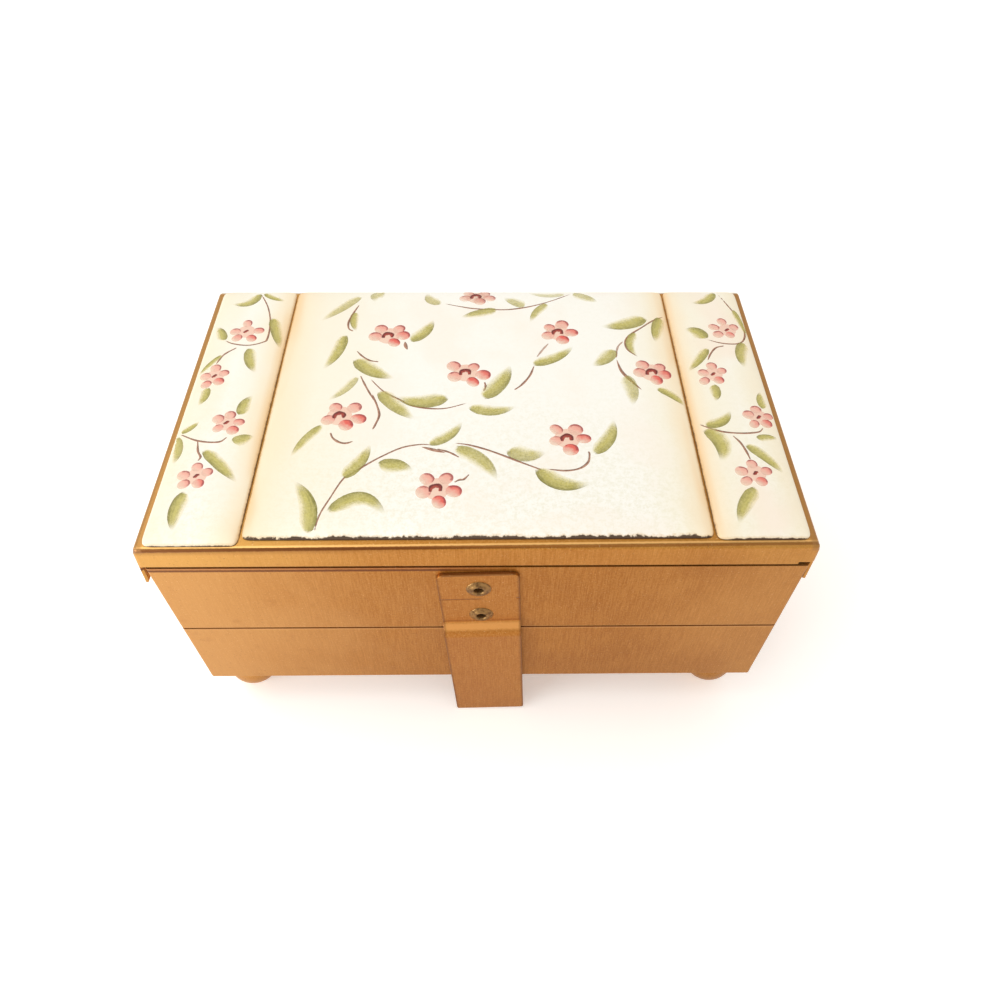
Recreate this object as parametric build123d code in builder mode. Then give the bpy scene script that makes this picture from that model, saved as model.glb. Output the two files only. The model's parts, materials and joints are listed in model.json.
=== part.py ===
"""Two-tier metal jewelry box: a hinged padded lid, an upper tier that swings forward on four
side arms, and a lower tier on ball feet. Millimetres, +X along the front, +Y to the rear, +Z up.
The origin is on the floor, under the centre of the box's outer size.
"""

import os
from math import atan2, cos, degrees, hypot, radians, sin, sqrt, tan

from build123d import *

os.makedirs("parts", exist_ok=True)

# Tiers: two folded sheet trays of one size
tier_width = 178.0
tier_depth = 108.0
tier_height = 31.85
wall = 1.0
corner_radius = 0.8
inner_corner_radius = 0.3
split_gap = 0.3
lip_depth = 2.4
lip_sheet = 0.8
lip_corner_gap = 4.2

# Lid: a sheet shell with short front and rear flanges and deep side wings
lid_sheet = 0.8
lid_side_overhang = 0.2
lid_gap = 1.4
flange_depth = 7.5
wing_depth = 16.3
wing_flare = 1.2
lid_edge_radius = 1.3

# Padded panels on the lid
side_panel_width = 25.0
side_panel_edge = 1.8
panel_groove = 0.4
panel_side_height = 0.9
panel_crown = 0.6
panel_roll = 0.6
panel_corner = 2.2
panel_rear_edge = 1.0
left_panel_front = 0.8
centre_panel_front = 2.8
right_panel_front = 2.2

# Cushion under the lid
cushion_edge_gap = 1.2
cushion_clearance = 0.3
cushion_border = 9.0
cushion_crown = 2.0
cushion_shoulder = 12.0

# Lid hinge on the rear faces
hinge_width = 64.0
hinge_knuckles = 5
knuckle_radius = 1.7
knuckle_gap = 0.3
knuckle_notch = 0.4
leaf_sheet = 0.8
lid_leaf_height = 6.8
tray_leaf_height = 12.0
hinge_pin_radius = 0.8
pin_head_radius = 1.4
pin_head_height = 0.6
hinge_rivet_radius = 1.1
hinge_rivet_head = 2.2
hinge_rivet_crown = 0.8
hinge_rivet_tail = 0.5

# Front strap: a flat bar riveted to the upper tier, joggled over the lower one down to the floor
strap_width = 22.8
strap_sheet = 1.05
strap_drop = 11.0
strap_shift = -0.5
strap_lean = 2.4
strap_corner = 2.5
strap_step = 2.7
strap_flat = 25.2
strap_step_run = 3.0
strap_bend = 1.0
strap_floor_gap = 0.4
strap_rivet_inset = 7.0
strap_rivet_spacing = 13.7
strap_rivet_head = 3.5
strap_rivet_crown = 0.9
strap_rivet_barrel = 2.1
strap_rivet_bore = 1.45
strap_rivet_tail = 0.6

# Swing arms and their pivots
arm_width = 9.0
arm_sheet = 1.2
arm_front_inset = 12.0
arm_spacing = 32.0
base_pivot_height = 16.1
tray_pivot_height = 15.45
open_gap = 1.0
washer_radius = 4.0
washer_sheet = 0.5
arm_side_play = 0.1
pivot_radius = 1.5
pivot_play = 0.05
pivot_head_radius = 3.3
pivot_head_height = 1.2
pivot_tail_radius = 2.6
pivot_tail_height = 0.6

# Ball feet and their screws
foot_height = 18.4
ball_radius = 8.7
ball_flat = 0.35
neck_radius = 4.6
foot_inset_x = 9.5
foot_inset_y = 12.0
screw_radius = 1.6
screw_reach = 8.0
screw_head_radius = 3.0
screw_head_height = 0.9
screw_hole_depth = 9.0

# Linings
rivet_clearance = 0.05
lining_gap = 0.9
lining_board = 1.6
lining_drop = 1.4
lining_play = 0.3
lining_pad = 2.6
pocket_depth = 1.3
soft_edge = 0.6
divider_sheet = 2.4
divider_height = 21.0
upper_divider_x = -31.0
lower_divider_x = 22.0
ring_rolls = 7
ring_roll_height = 15.0
ring_slot_depth = 9.0
ring_slot_width = 1.0

# Levels and faces that follow from the sizes above
lower_floor = foot_height
lower_rim = lower_floor + tier_height
upper_floor = lower_rim + split_gap
upper_rim = upper_floor + tier_height
flange_bottom = upper_rim + lid_gap
lid_top = flange_bottom + flange_depth
wing_bottom = lid_top - wing_depth
hinge_z = upper_rim + lid_gap / 2
strap_proud = strap_step + strap_sheet
front_y = strap_proud - (tier_depth + strap_proud + 2 * knuckle_radius) / 2
rear_y = front_y + tier_depth
mid_y = (front_y + rear_y) / 2
half_width = tier_width / 2
hinge_y = rear_y + knuckle_radius
lid_half = half_width + lid_side_overhang
wing_half = lid_half + wing_flare
strap_top = lid_top - strap_drop
inner_half_x = half_width - wall - lining_gap
inner_front_y = front_y + wall + lining_gap
inner_rear_y = rear_y - wall - lining_gap

# Pivots: with this reach the upper tier lands clear in front, as high as it stood before
arm_reach = (tier_depth + open_gap) / 2
base_pivot_z = lower_floor + base_pivot_height
tray_pivot_z = upper_floor + tray_pivot_height
arm_rise = tray_pivot_z - base_pivot_z
arm_length = hypot(arm_reach, arm_rise)
arm_angle = degrees(atan2(arm_rise, arm_reach))
base_pivot_ys = (front_y + arm_front_inset, front_y + arm_front_inset + arm_spacing)
washer_face = half_width + washer_sheet
arm_face = washer_face + arm_side_play
sides = {"left": -1, "right": 1}
print("arm length", round(arm_length, 3), "swing", round(180 - 2 * arm_angle, 3))
print("hinge y z", round(hinge_y, 4), round(hinge_z, 4))
print("base pivots", base_pivot_ys, base_pivot_z, "tray pivot z", tray_pivot_z)


def save_piece(piece, name):
    """Name a finished piece and write its file."""
    piece.label = name
    export_step(piece, f"parts/{name}.step")


def turned(origin, direction, outline, round_end=0.0):
    """Solid turned about an axis: outline points are (radius, height) along direction."""
    along = Vector(*direction)
    across = Vector(0, 0, 1) if abs(along.Z) < 0.5 else Vector(1, 0, 0)
    section = Plane(origin=origin, x_dir=across, z_dir=across.cross(along))
    with BuildPart() as piece:
        with BuildSketch(section):
            with BuildLine():
                Polyline(*outline, close=True)
            make_face()
        revolve(axis=Axis(origin, direction))
        if round_end:
            fillet(piece.edges().sort_by(Axis(origin, direction))[-1], radius=round_end)
    return piece.part


def soft_block(low, high, edge):
    """Upright padded block between two corners, its top edges and uprights rounded."""
    with BuildPart() as block:
        with BuildSketch(Plane.XY.offset(low[2])):
            with Locations(((low[0] + high[0]) / 2, (low[1] + high[1]) / 2)):
                Rectangle(high[0] - low[0], high[1] - low[1])
        extrude(amount=high[2] - low[2])
        fillet(block.edges().filter_by(Axis.Z) + block.faces().sort_by(Axis.Z)[-1].edges(), radius=edge)
    return block.part


def tray(floor_z):
    """Folded sheet tray with a lip that turns inward and stops short of the corners."""
    with BuildPart() as shell:
        with BuildSketch(Plane.XY.offset(floor_z)):
            with Locations((0, mid_y)):
                RectangleRounded(tier_width, tier_depth, corner_radius)
        extrude(amount=tier_height)
        fillet(shell.faces().sort_by(Axis.Z)[0].edges(), radius=corner_radius / 2)
        with BuildSketch(Plane.XY.offset(floor_z + wall)):
            with Locations((0, mid_y)):
                RectangleRounded(tier_width - 2 * wall, tier_depth - 2 * wall, inner_corner_radius)
        extrude(amount=tier_height, mode=Mode.SUBTRACT)
        with BuildSketch(Plane.XY.offset(floor_z + tier_height)):
            with Locations((0, front_y + wall + lip_depth / 2), (0, rear_y - wall - lip_depth / 2)):
                Rectangle(tier_width - 2 * lip_corner_gap, lip_depth)
            with Locations((half_width - wall - lip_depth / 2, mid_y), (wall + lip_depth / 2 - half_width, mid_y)):
                Rectangle(lip_depth, tier_depth - 2 * lip_corner_gap)
        extrude(amount=-lip_sheet)
    return shell.part


# Strap line: it leaves the rivets at the lean, so points on it are found along its own direction
strap_down = Vector(sin(radians(strap_lean)), 0, -cos(radians(strap_lean)))
strap_across = Vector(cos(radians(strap_lean)), 0, sin(radians(strap_lean)))
strap_head = Vector(strap_shift, front_y, strap_top)
strap_length = (strap_top - strap_floor_gap) / cos(radians(strap_lean)) - strap_width / 2 * tan(radians(strap_lean))
strap_rivet_points = [
    strap_head + strap_down * (strap_rivet_inset + row * strap_rivet_spacing) for row in range(2)
]
knuckle_pitch = hinge_width / hinge_knuckles
tray_knuckle_xs = [(i - (hinge_knuckles - 1) / 2) * knuckle_pitch for i in range(0, hinge_knuckles, 2)]
lid_knuckle_xs = [(i - (hinge_knuckles - 1) / 2) * knuckle_pitch for i in range(1, hinge_knuckles, 2)]
leaf_reserve = knuckle_radius + knuckle_notch
tray_leaf_rivet_z = hinge_z - (tray_leaf_height + leaf_reserve) / 2
lid_leaf_rivet_z = hinge_z + (lid_leaf_height + leaf_reserve) / 2

# Lower tray, with holes for the base pivots and the foot screws
foot_points = {
    "front_left": (foot_inset_x - half_width, front_y + foot_inset_y),
    "front_right": (half_width - foot_inset_x, front_y + foot_inset_y),
    "rear_left": (foot_inset_x - half_width, rear_y - foot_inset_y),
    "rear_right": (half_width - foot_inset_x, rear_y - foot_inset_y),
}
with BuildPart() as lower_tray:
    add(tray(lower_floor))
    with BuildSketch(Plane.YZ):
        with Locations(*[(y, base_pivot_z) for y in base_pivot_ys]):
            Circle(pivot_radius + rivet_clearance)
    extrude(amount=tier_width, both=True, mode=Mode.SUBTRACT)
    with BuildSketch(Plane.XY.offset(lower_floor)):
        with Locations(*foot_points.values()):
            Circle(screw_radius + rivet_clearance)
    extrude(amount=wall, mode=Mode.SUBTRACT)
save_piece(lower_tray.part, "lower_tray")

# Upper tray, with holes for the arm pivots, the strap rivets and the hinge rivets
tray_pivot_ys = [y + arm_reach for y in base_pivot_ys]
with BuildPart() as upper_tray:
    add(tray(upper_floor))
    with BuildSketch(Plane.YZ):
        with Locations(*[(y, tray_pivot_z) for y in tray_pivot_ys]):
            Circle(pivot_radius + rivet_clearance)
    extrude(amount=tier_width, both=True, mode=Mode.SUBTRACT)
    with BuildSketch(Plane(origin=(0, front_y, 0), x_dir=(1, 0, 0), z_dir=(0, -1, 0))):
        with Locations(*[(point.X, point.Z) for point in strap_rivet_points]):
            Circle(strap_rivet_barrel + rivet_clearance)
    extrude(amount=-2 * wall, mode=Mode.SUBTRACT)
    with BuildSketch(Plane(origin=(0, rear_y, 0), x_dir=(1, 0, 0), z_dir=(0, -1, 0))):
        with Locations(*[(x, tray_leaf_rivet_z) for x in tray_knuckle_xs]):
            Circle(hinge_rivet_radius + rivet_clearance)
    extrude(amount=2 * wall, mode=Mode.SUBTRACT)
save_piece(upper_tray.part, "upper_tray")

# Lid shell: a bent sheet whose wings spread a little towards their lower edge
front_plane = Plane(origin=(0, front_y, 0), x_dir=(1, 0, 0), z_dir=(0, -1, 0))
lid_cavity_plane = Plane(origin=(0, front_y + lid_sheet, 0), x_dir=(1, 0, 0), z_dir=(0, -1, 0))
lid_cavity = [
    (-(lid_half - lid_sheet), lid_top - lid_sheet),
    (lid_half - lid_sheet, lid_top - lid_sheet),
    (wing_half - lid_sheet, wing_bottom),
    (-(wing_half - lid_sheet), wing_bottom),
]
with BuildPart() as lid_shell:
    with BuildSketch(front_plane):
        Polygon(
            (-lid_half, lid_top),
            (lid_half, lid_top),
            (wing_half, wing_bottom),
            (-wing_half, wing_bottom),
            align=None,
        )
    extrude(amount=-tier_depth)
    fillet(lid_shell.faces().sort_by(Axis.Z)[-1].edges(), radius=lid_edge_radius)
    with BuildSketch(lid_cavity_plane):
        Polygon(*lid_cavity, align=None)
    extrude(amount=2 * lid_sheet - tier_depth, mode=Mode.SUBTRACT)
    with BuildSketch(front_plane):
        Polygon(*lid_cavity, align=None)
        with Locations((0, flange_bottom + lid_top)):
            Rectangle(3 * tier_width, 2 * lid_top, mode=Mode.SUBTRACT)
    extrude(amount=-tier_depth, mode=Mode.SUBTRACT)
    with BuildSketch(Plane(origin=(0, rear_y, 0), x_dir=(1, 0, 0), z_dir=(0, -1, 0))):
        with Locations(*[(x, lid_leaf_rivet_z) for x in lid_knuckle_xs]):
            Circle(hinge_rivet_radius + rivet_clearance)
    extrude(amount=2 * lid_sheet, mode=Mode.SUBTRACT)
save_piece(lid_shell.part, "lid_shell")


def lid_panel(low_x, high_x, panel_front_y):
    """Padded panel on the lid: crowned across its width, its edges rolled down."""
    half = (high_x - low_x) / 2
    start = Plane(origin=((low_x + high_x) / 2, panel_front_y, lid_top), x_dir=(1, 0, 0), z_dir=(0, -1, 0))
    with BuildPart() as panel:
        with BuildSketch(start):
            with BuildLine():
                Polyline((-half, panel_side_height), (-half, 0), (half, 0), (half, panel_side_height))
                ThreePointArc(
                    (half, panel_side_height),
                    (0, panel_side_height + panel_crown),
                    (-half, panel_side_height),
                )
            make_face()
        extrude(amount=panel_front_y + panel_rear_edge - rear_y)
        fillet(panel.edges().filter_by(Axis.Z), radius=panel_corner)
        fillet(panel.faces().sort_by(Axis.Z)[-1].edges(), radius=panel_roll)
    return panel.part


side_panel_outer = lid_half - side_panel_edge
side_panel_inner = side_panel_outer - side_panel_width
centre_half = side_panel_inner - panel_groove
save_piece(lid_panel(-centre_half, centre_half, front_y + centre_panel_front), "lid_centre_panel")
save_piece(lid_panel(-side_panel_outer, -side_panel_inner, front_y + left_panel_front), "lid_left_panel")
save_piece(lid_panel(side_panel_inner, side_panel_outer, front_y + right_panel_front), "lid_right_panel")

# Cushion glued inside the lid: flat over the tray's lip, its crown hangs into the tray
cushion_x = lid_half - lid_sheet - cushion_edge_gap
cushion_y = tier_depth / 2 - lid_sheet - cushion_edge_gap
cushion_bottom = upper_rim + cushion_clearance
with BuildPart() as lid_lining:
    with BuildSketch(Plane.XY.offset(cushion_bottom)):
        with Locations((0, mid_y)):
            RectangleRounded(2 * cushion_x, 2 * cushion_y, panel_corner)
    extrude(amount=lid_top - lid_sheet - cushion_bottom)
    with BuildSketch(Plane.XY.offset(cushion_bottom)):
        with Locations((0, mid_y)):
            RectangleRounded(2 * (cushion_x - cushion_border), 2 * (cushion_y - cushion_border), 2 * panel_corner)
    with BuildSketch(Plane.XY.offset(cushion_bottom - cushion_crown)):
        with Locations((0, mid_y)):
            RectangleRounded(
                2 * (cushion_x - cushion_border - cushion_shoulder),
                2 * (cushion_y - cushion_border - cushion_shoulder),
                2 * panel_corner,
            )
    loft()
save_piece(lid_lining.part, "lid_lining")


def hinge_leaf(knuckle_xs, other_xs, height, upward):
    """Leaf on the rear face with its own knuckles, cut back round the other leaf's knuckles."""
    rear_plane = Plane(origin=(0, rear_y, hinge_z), x_dir=(1, 0, 0), z_dir=(0, -1, 0))
    with BuildPart() as leaf:
        with BuildSketch(rear_plane):
            with Locations((0, upward * height / 2)):
                Rectangle(hinge_width - knuckle_gap, height)
            with Locations(*[(x, 0) for x in other_xs]):
                Rectangle(knuckle_pitch + knuckle_gap, 2 * leaf_reserve, mode=Mode.SUBTRACT)
        extrude(amount=-leaf_sheet)
        for x in knuckle_xs:
            start = Plane.YZ.offset(x - (knuckle_pitch - knuckle_gap) / 2)
            with BuildSketch(start):
                with Locations((hinge_y, hinge_z)):
                    Circle(knuckle_radius)
            extrude(amount=knuckle_pitch - knuckle_gap)
        with BuildSketch(Plane.YZ):
            with Locations((hinge_y, hinge_z)):
                Circle(hinge_pin_radius + pivot_play)
        extrude(amount=hinge_width, both=True, mode=Mode.SUBTRACT)
        with BuildSketch(rear_plane):
            with Locations(*[(x, upward * (height + leaf_reserve) / 2) for x in knuckle_xs]):
                Circle(hinge_rivet_radius + rivet_clearance)
        extrude(amount=-leaf_sheet, mode=Mode.SUBTRACT)
    return leaf.part


save_piece(hinge_leaf(lid_knuckle_xs, tray_knuckle_xs, lid_leaf_height, 1), "lid_hinge_leaf")
save_piece(hinge_leaf(tray_knuckle_xs, lid_knuckle_xs, tray_leaf_height, -1), "tray_hinge_leaf")

# Hinge pin, headed at both ends
pin_reach = (hinge_width - knuckle_gap) / 2
with BuildPart() as lid_hinge_pin:
    add(
        turned(
            (0, hinge_y, hinge_z),
            (1, 0, 0),
            [
                (0, -pin_reach - pin_head_height),
                (pin_head_radius, -pin_reach - pin_head_height),
                (pin_head_radius, -pin_reach),
                (hinge_pin_radius, -pin_reach),
                (hinge_pin_radius, pin_reach),
                (pin_head_radius, pin_reach),
                (pin_head_radius, pin_reach + pin_head_height),
                (0, pin_reach + pin_head_height),
            ],
        )
    )
save_piece(lid_hinge_pin.part, "lid_hinge_pin")


def hinge_rivet(x, z, plate):
    """Solid rivet through a leaf and the plate in front of it, headed at the rear."""
    return turned(
        (x, rear_y, z),
        (0, 1, 0),
        [
            (0, -plate - hinge_rivet_tail),
            (hinge_rivet_head, -plate - hinge_rivet_tail),
            (hinge_rivet_head, -plate),
            (hinge_rivet_radius, -plate),
            (hinge_rivet_radius, leaf_sheet),
            (hinge_rivet_head, leaf_sheet),
            (hinge_rivet_head, leaf_sheet + hinge_rivet_crown),
            (0, leaf_sheet + hinge_rivet_crown),
        ],
        round_end=hinge_rivet_crown * 0.7,
    )


with BuildPart() as lid_hinge_rivets:
    for x in lid_knuckle_xs:
        add(hinge_rivet(x, lid_leaf_rivet_z, lid_sheet))
save_piece(lid_hinge_rivets.part, "lid_hinge_rivets")

with BuildPart() as tray_hinge_rivets:
    for x in tray_knuckle_xs:
        add(hinge_rivet(x, tray_leaf_rivet_z, wall))
save_piece(tray_hinge_rivets.part, "tray_hinge_rivets")

# Front strap: its side view is drawn as (outward, down) and given the strap's width
strap_side = Plane(origin=strap_head, x_dir=(0, -1, 0), z_dir=strap_across)
bend_angle = atan2(strap_step, strap_step_run)
bend_shift = strap_sheet * tan(bend_angle / 2)
step_end = strap_flat + strap_step_run
with BuildPart() as front_strap:
    with BuildSketch(strap_side):
        with BuildLine():
            FilletPolyline(
                (0, 0),
                (0, strap_flat),
                (strap_step, step_end),
                (strap_step, strap_length),
                radius=[strap_bend + strap_sheet, strap_bend],
            )
            Line((strap_step, strap_length), (strap_proud, strap_length))
            FilletPolyline(
                (strap_proud, strap_length),
                (strap_proud, step_end - bend_shift),
                (strap_sheet, strap_flat - bend_shift),
                (strap_sheet, 0),
                radius=[strap_bend + strap_sheet, strap_bend],
            )
            Line((strap_sheet, 0), (0, 0))
        make_face()
    extrude(amount=strap_width / 2, both=True)
    fillet(front_strap.edges().filter_by(Axis.Y).group_by(Axis.Z)[-1], radius=strap_corner)
    fillet(front_strap.edges().filter_by(Axis.Y).group_by(Axis.Z)[-2], radius=strap_corner)
    with BuildSketch(front_plane):
        with Locations(*[(point.X, point.Z) for point in strap_rivet_points]):
            Circle(strap_rivet_barrel + rivet_clearance)
    extrude(amount=2 * strap_sheet, mode=Mode.SUBTRACT)
save_piece(front_strap.part, "front_strap")

# Hollow rivets of the strap: rolled head in front, flared tail inside the tray
with BuildPart() as strap_rivets:
    for point in strap_rivet_points:
        add(
            turned(
                tuple(point),
                (0, -1, 0),
                [
                    (strap_rivet_bore, -wall - strap_rivet_tail),
                    (strap_rivet_head - strap_rivet_tail, -wall - strap_rivet_tail),
                    (strap_rivet_head - strap_rivet_tail, -wall),
                    (strap_rivet_barrel, -wall),
                    (strap_rivet_barrel, strap_sheet),
                    (strap_rivet_head, strap_sheet),
                    (strap_rivet_head - strap_rivet_crown, strap_sheet + strap_rivet_crown),
                    (strap_rivet_bore, strap_sheet + strap_rivet_crown),
                ],
            )
        )
save_piece(strap_rivets.part, "strap_rivets")

# Swing arms: each runs from a pivot on the lower tray back and up to one on the upper tray
for row, base_y in zip(("front", "rear"), base_pivot_ys):
    for side, sign in sides.items():
        inner_x = arm_face if sign > 0 else -arm_face - arm_sheet
        with BuildPart() as arm:
            with BuildSketch(Plane.YZ.offset(inner_x)):
                with Locations((base_y + arm_reach / 2, base_pivot_z + arm_rise / 2)):
                    SlotCenterToCenter(arm_length, arm_width, rotation=arm_angle)
                with Locations((base_y, base_pivot_z), (base_y + arm_reach, tray_pivot_z)):
                    Circle(pivot_radius + pivot_play, mode=Mode.SUBTRACT)
            extrude(amount=arm_sheet)
        save_piece(arm.part, f"arm_{row}_{side}")


def pivot_rivet(sign, y, z):
    """Shoulder rivet that stands out of a tray's side and carries one end of an arm."""
    shoulder = arm_face + arm_sheet + arm_side_play - half_width
    return turned(
        (sign * half_width, y, z),
        (sign, 0, 0),
        [
            (0, -wall - pivot_tail_height),
            (pivot_tail_radius, -wall - pivot_tail_height),
            (pivot_tail_radius, -wall),
            (pivot_radius, -wall),
            (pivot_radius, shoulder),
            (pivot_head_radius, shoulder),
            (pivot_head_radius, shoulder + pivot_head_height),
            (0, shoulder + pivot_head_height),
        ],
        round_end=pivot_head_height * 0.8,
    )


def pivot_washer(sign, y, z):
    """Flat washer between a tray's side and an arm."""
    return turned(
        (sign * half_width, y, z),
        (sign, 0, 0),
        [
            (pivot_radius + rivet_clearance, 0),
            (washer_radius, 0),
            (washer_radius, washer_sheet),
            (pivot_radius + rivet_clearance, washer_sheet),
        ],
    )


pivot_groups = {
    "base_pivot": [(y, base_pivot_z) for y in base_pivot_ys],
    "tray_pivot": [(y, tray_pivot_z) for y in tray_pivot_ys],
}
for group, points in pivot_groups.items():
    with BuildPart() as rivets:
        for sign in sides.values():
            for y, z in points:
                add(pivot_rivet(sign, y, z))
    save_piece(rivets.part, f"{group}_rivets")
    with BuildPart() as washers:
        for sign in sides.values():
            for y, z in points:
                add(pivot_washer(sign, y, z))
    save_piece(washers.part, f"{group}_washers")

# Ball feet: flattened where they stand, with a neck up to the lower tray
ball_centre = ball_radius - ball_flat
flat_radius = sqrt(ball_radius**2 - ball_centre**2)
neck_joint = ball_centre + sqrt(ball_radius**2 - neck_radius**2)
for place, (x, y) in foot_points.items():
    with BuildPart() as foot:
        with BuildSketch(Plane(origin=(x, y, 0), x_dir=(1, 0, 0), z_dir=(0, -1, 0))):
            with BuildLine():
                Line((0, 0), (flat_radius, 0))
                ThreePointArc((flat_radius, 0), (ball_radius, ball_centre), (neck_radius, neck_joint))
                Polyline((neck_radius, neck_joint), (neck_radius, foot_height), (0, foot_height), (0, 0))
            make_face()
        revolve(axis=Axis((x, y, 0), (0, 0, 1)))
        with BuildSketch(Plane.XY.offset(foot_height)):
            with Locations((x, y)):
                Circle(screw_radius + rivet_clearance)
        extrude(amount=-screw_hole_depth, mode=Mode.SUBTRACT)
    save_piece(foot.part, f"foot_{place}")

# Foot screws, put in from inside the lower tray
with BuildPart() as foot_screws:
    for x, y in foot_points.values():
        add(
            turned(
                (x, y, lower_floor + wall),
                (0, 0, 1),
                [
                    (0, -wall - screw_reach),
                    (screw_radius, -wall - screw_reach),
                    (screw_radius, 0),
                    (screw_head_radius, 0),
                    (screw_head_radius, screw_head_height),
                    (0, screw_head_height),
                ],
                round_end=screw_head_height * 0.5,
            )
        )
save_piece(foot_screws.part, "foot_screws")

# Lining boards and floor pads, the same in both tiers
board_tops = {"lower": lower_rim - lining_drop, "upper": upper_rim - lining_drop}
pad_half_x = inner_half_x - lining_board - lining_play
pad_front_y = inner_front_y + lining_board + lining_play
pad_rear_y = inner_rear_y - lining_board - lining_play
for tier, floor_z in (("lower", lower_floor + wall), ("upper", upper_floor + wall)):
    top = board_tops[tier]
    edge = lining_board * 0.35
    front = soft_block((-inner_half_x, inner_front_y, floor_z), (inner_half_x, inner_front_y + lining_board, top), edge)
    rear = soft_block((-inner_half_x, inner_rear_y - lining_board, floor_z), (inner_half_x, inner_rear_y, top), edge)
    save_piece(front, f"{tier}_lining_front")
    save_piece(rear, f"{tier}_lining_rear")
    for side, sign in sides.items():
        xs = sorted((sign * inner_half_x, sign * (inner_half_x - lining_board)))
        board = soft_block((xs[0], pad_front_y, floor_z), (xs[1], pad_rear_y, top), edge)
        save_piece(board, f"{tier}_lining_{side}")
    with BuildPart() as pad:
        add(soft_block((-pad_half_x, pad_front_y, floor_z), (pad_half_x, pad_rear_y, floor_z + lining_pad), soft_edge))
        if tier == "lower":
            with BuildSketch(Plane.XY.offset(floor_z)):
                with Locations(*foot_points.values()):
                    Circle(screw_head_radius + lining_play)
            extrude(amount=pocket_depth, mode=Mode.SUBTRACT)
    save_piece(pad.part, f"{tier}_lining_floor")

# One cross divider in each tier, standing on the floor pad
for tier, x, floor_z in (
    ("lower", lower_divider_x, lower_floor + wall + lining_pad),
    ("upper", upper_divider_x, upper_floor + wall + lining_pad),
):
    divider = soft_block(
        (x - divider_sheet / 2, pad_front_y, floor_z),
        (x + divider_sheet / 2, pad_rear_y, floor_z + divider_height),
        divider_sheet * 0.35,
    )
    save_piece(divider, f"{tier}_divider")

# Ring cushion: rolls side by side on one base, a narrow slot between each two
ring_low_x = -pad_half_x + lining_play
ring_high_x = upper_divider_x - divider_sheet / 2 - lining_play
ring_front_y = pad_front_y + lining_play
ring_rear_y = pad_rear_y - lining_play
ring_floor = upper_floor + wall + lining_pad
roll_pitch = (ring_rear_y - ring_front_y) / ring_rolls
roll_half = (roll_pitch - ring_slot_width) / 2
shoulder_z = ring_roll_height - roll_half * 0.6
with BuildPart() as ring_cushion:
    with BuildSketch(Plane(origin=(ring_low_x, ring_front_y, ring_floor), x_dir=(0, 1, 0), z_dir=(1, 0, 0))):
        with Locations(((ring_rear_y - ring_front_y) / 2, (ring_roll_height - ring_slot_depth) / 2)):
            Rectangle(ring_rear_y - ring_front_y, ring_roll_height - ring_slot_depth)
        for roll in range(ring_rolls):
            middle = (roll + 0.5) * roll_pitch
            with BuildLine():
                Polyline(
                    (middle - roll_half, shoulder_z),
                    (middle - roll_half, ring_roll_height - ring_slot_depth),
                    (middle + roll_half, ring_roll_height - ring_slot_depth),
                    (middle + roll_half, shoulder_z),
                )
                ThreePointArc(
                    (middle + roll_half, shoulder_z),
                    (middle, ring_roll_height),
                    (middle - roll_half, shoulder_z),
                )
            make_face()
    extrude(amount=ring_high_x - ring_low_x)
save_piece(ring_cushion.part, "ring_cushion")
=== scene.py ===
"""The looks of a two-tier jewelry box: brushed gold sheet, a padded cream lid painted with a flowering
vine, ball feet and velvet linings. Metres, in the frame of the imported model: +X along the front,
+Y to the rear, +Z up, floor at 0.
"""

import json
import logging
import math
from contextlib import contextmanager
from dataclasses import dataclass, field
from enum import Enum
from typing import Callable, Iterator, Sequence

import bmesh
import bpy
from mathutils import Matrix, Vector


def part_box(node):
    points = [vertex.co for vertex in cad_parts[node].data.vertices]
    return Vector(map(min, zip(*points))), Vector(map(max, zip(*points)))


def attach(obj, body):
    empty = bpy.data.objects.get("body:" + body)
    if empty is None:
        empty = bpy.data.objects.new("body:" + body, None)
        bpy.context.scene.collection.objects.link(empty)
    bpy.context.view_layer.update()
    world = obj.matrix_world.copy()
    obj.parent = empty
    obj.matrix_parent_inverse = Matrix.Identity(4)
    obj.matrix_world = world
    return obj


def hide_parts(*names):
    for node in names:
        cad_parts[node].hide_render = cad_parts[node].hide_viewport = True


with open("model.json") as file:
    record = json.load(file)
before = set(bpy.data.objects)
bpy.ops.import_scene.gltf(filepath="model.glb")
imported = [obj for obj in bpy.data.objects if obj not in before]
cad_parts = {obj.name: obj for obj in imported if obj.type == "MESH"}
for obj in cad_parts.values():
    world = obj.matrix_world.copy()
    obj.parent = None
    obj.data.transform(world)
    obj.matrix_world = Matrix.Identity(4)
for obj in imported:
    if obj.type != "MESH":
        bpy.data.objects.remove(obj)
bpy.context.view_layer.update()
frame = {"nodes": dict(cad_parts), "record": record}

MM = 0.001
log = logging.getLogger("jewelry_box")

# How close two heights lie when they count as the same, in millimetres.
NEAR = 0.01
# The lid's front left corner, from which the painted strokes are placed, in millimetres.
LID_CORNER = (-89.0, -53.825)
# The height from which paint is dropped on a panel, and the one it gets where it misses it, in metres.
DROP_HEIGHT, LOST_HEIGHT = 0.12, 1.0
# How far the rim of a stroke of paint lies under its ground, in millimetres.
SUNK = 0.015
# The middle of the strap's top edge along X and down from the lid's top, and its width, in millimetres.
STRAP_X, STRAP_DOWN, STRAP_WIDTH = -0.5, 11.0, 22.8
# How far the strap leans from upright, in degrees.
STRAP_LEAN = 2.4

Triple = tuple[float, float, float]
Colour = Triple
Point = tuple[float, float]
Dab = tuple[float, float, float, float, float]
Route = Callable[[float, float], Dab]


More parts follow.
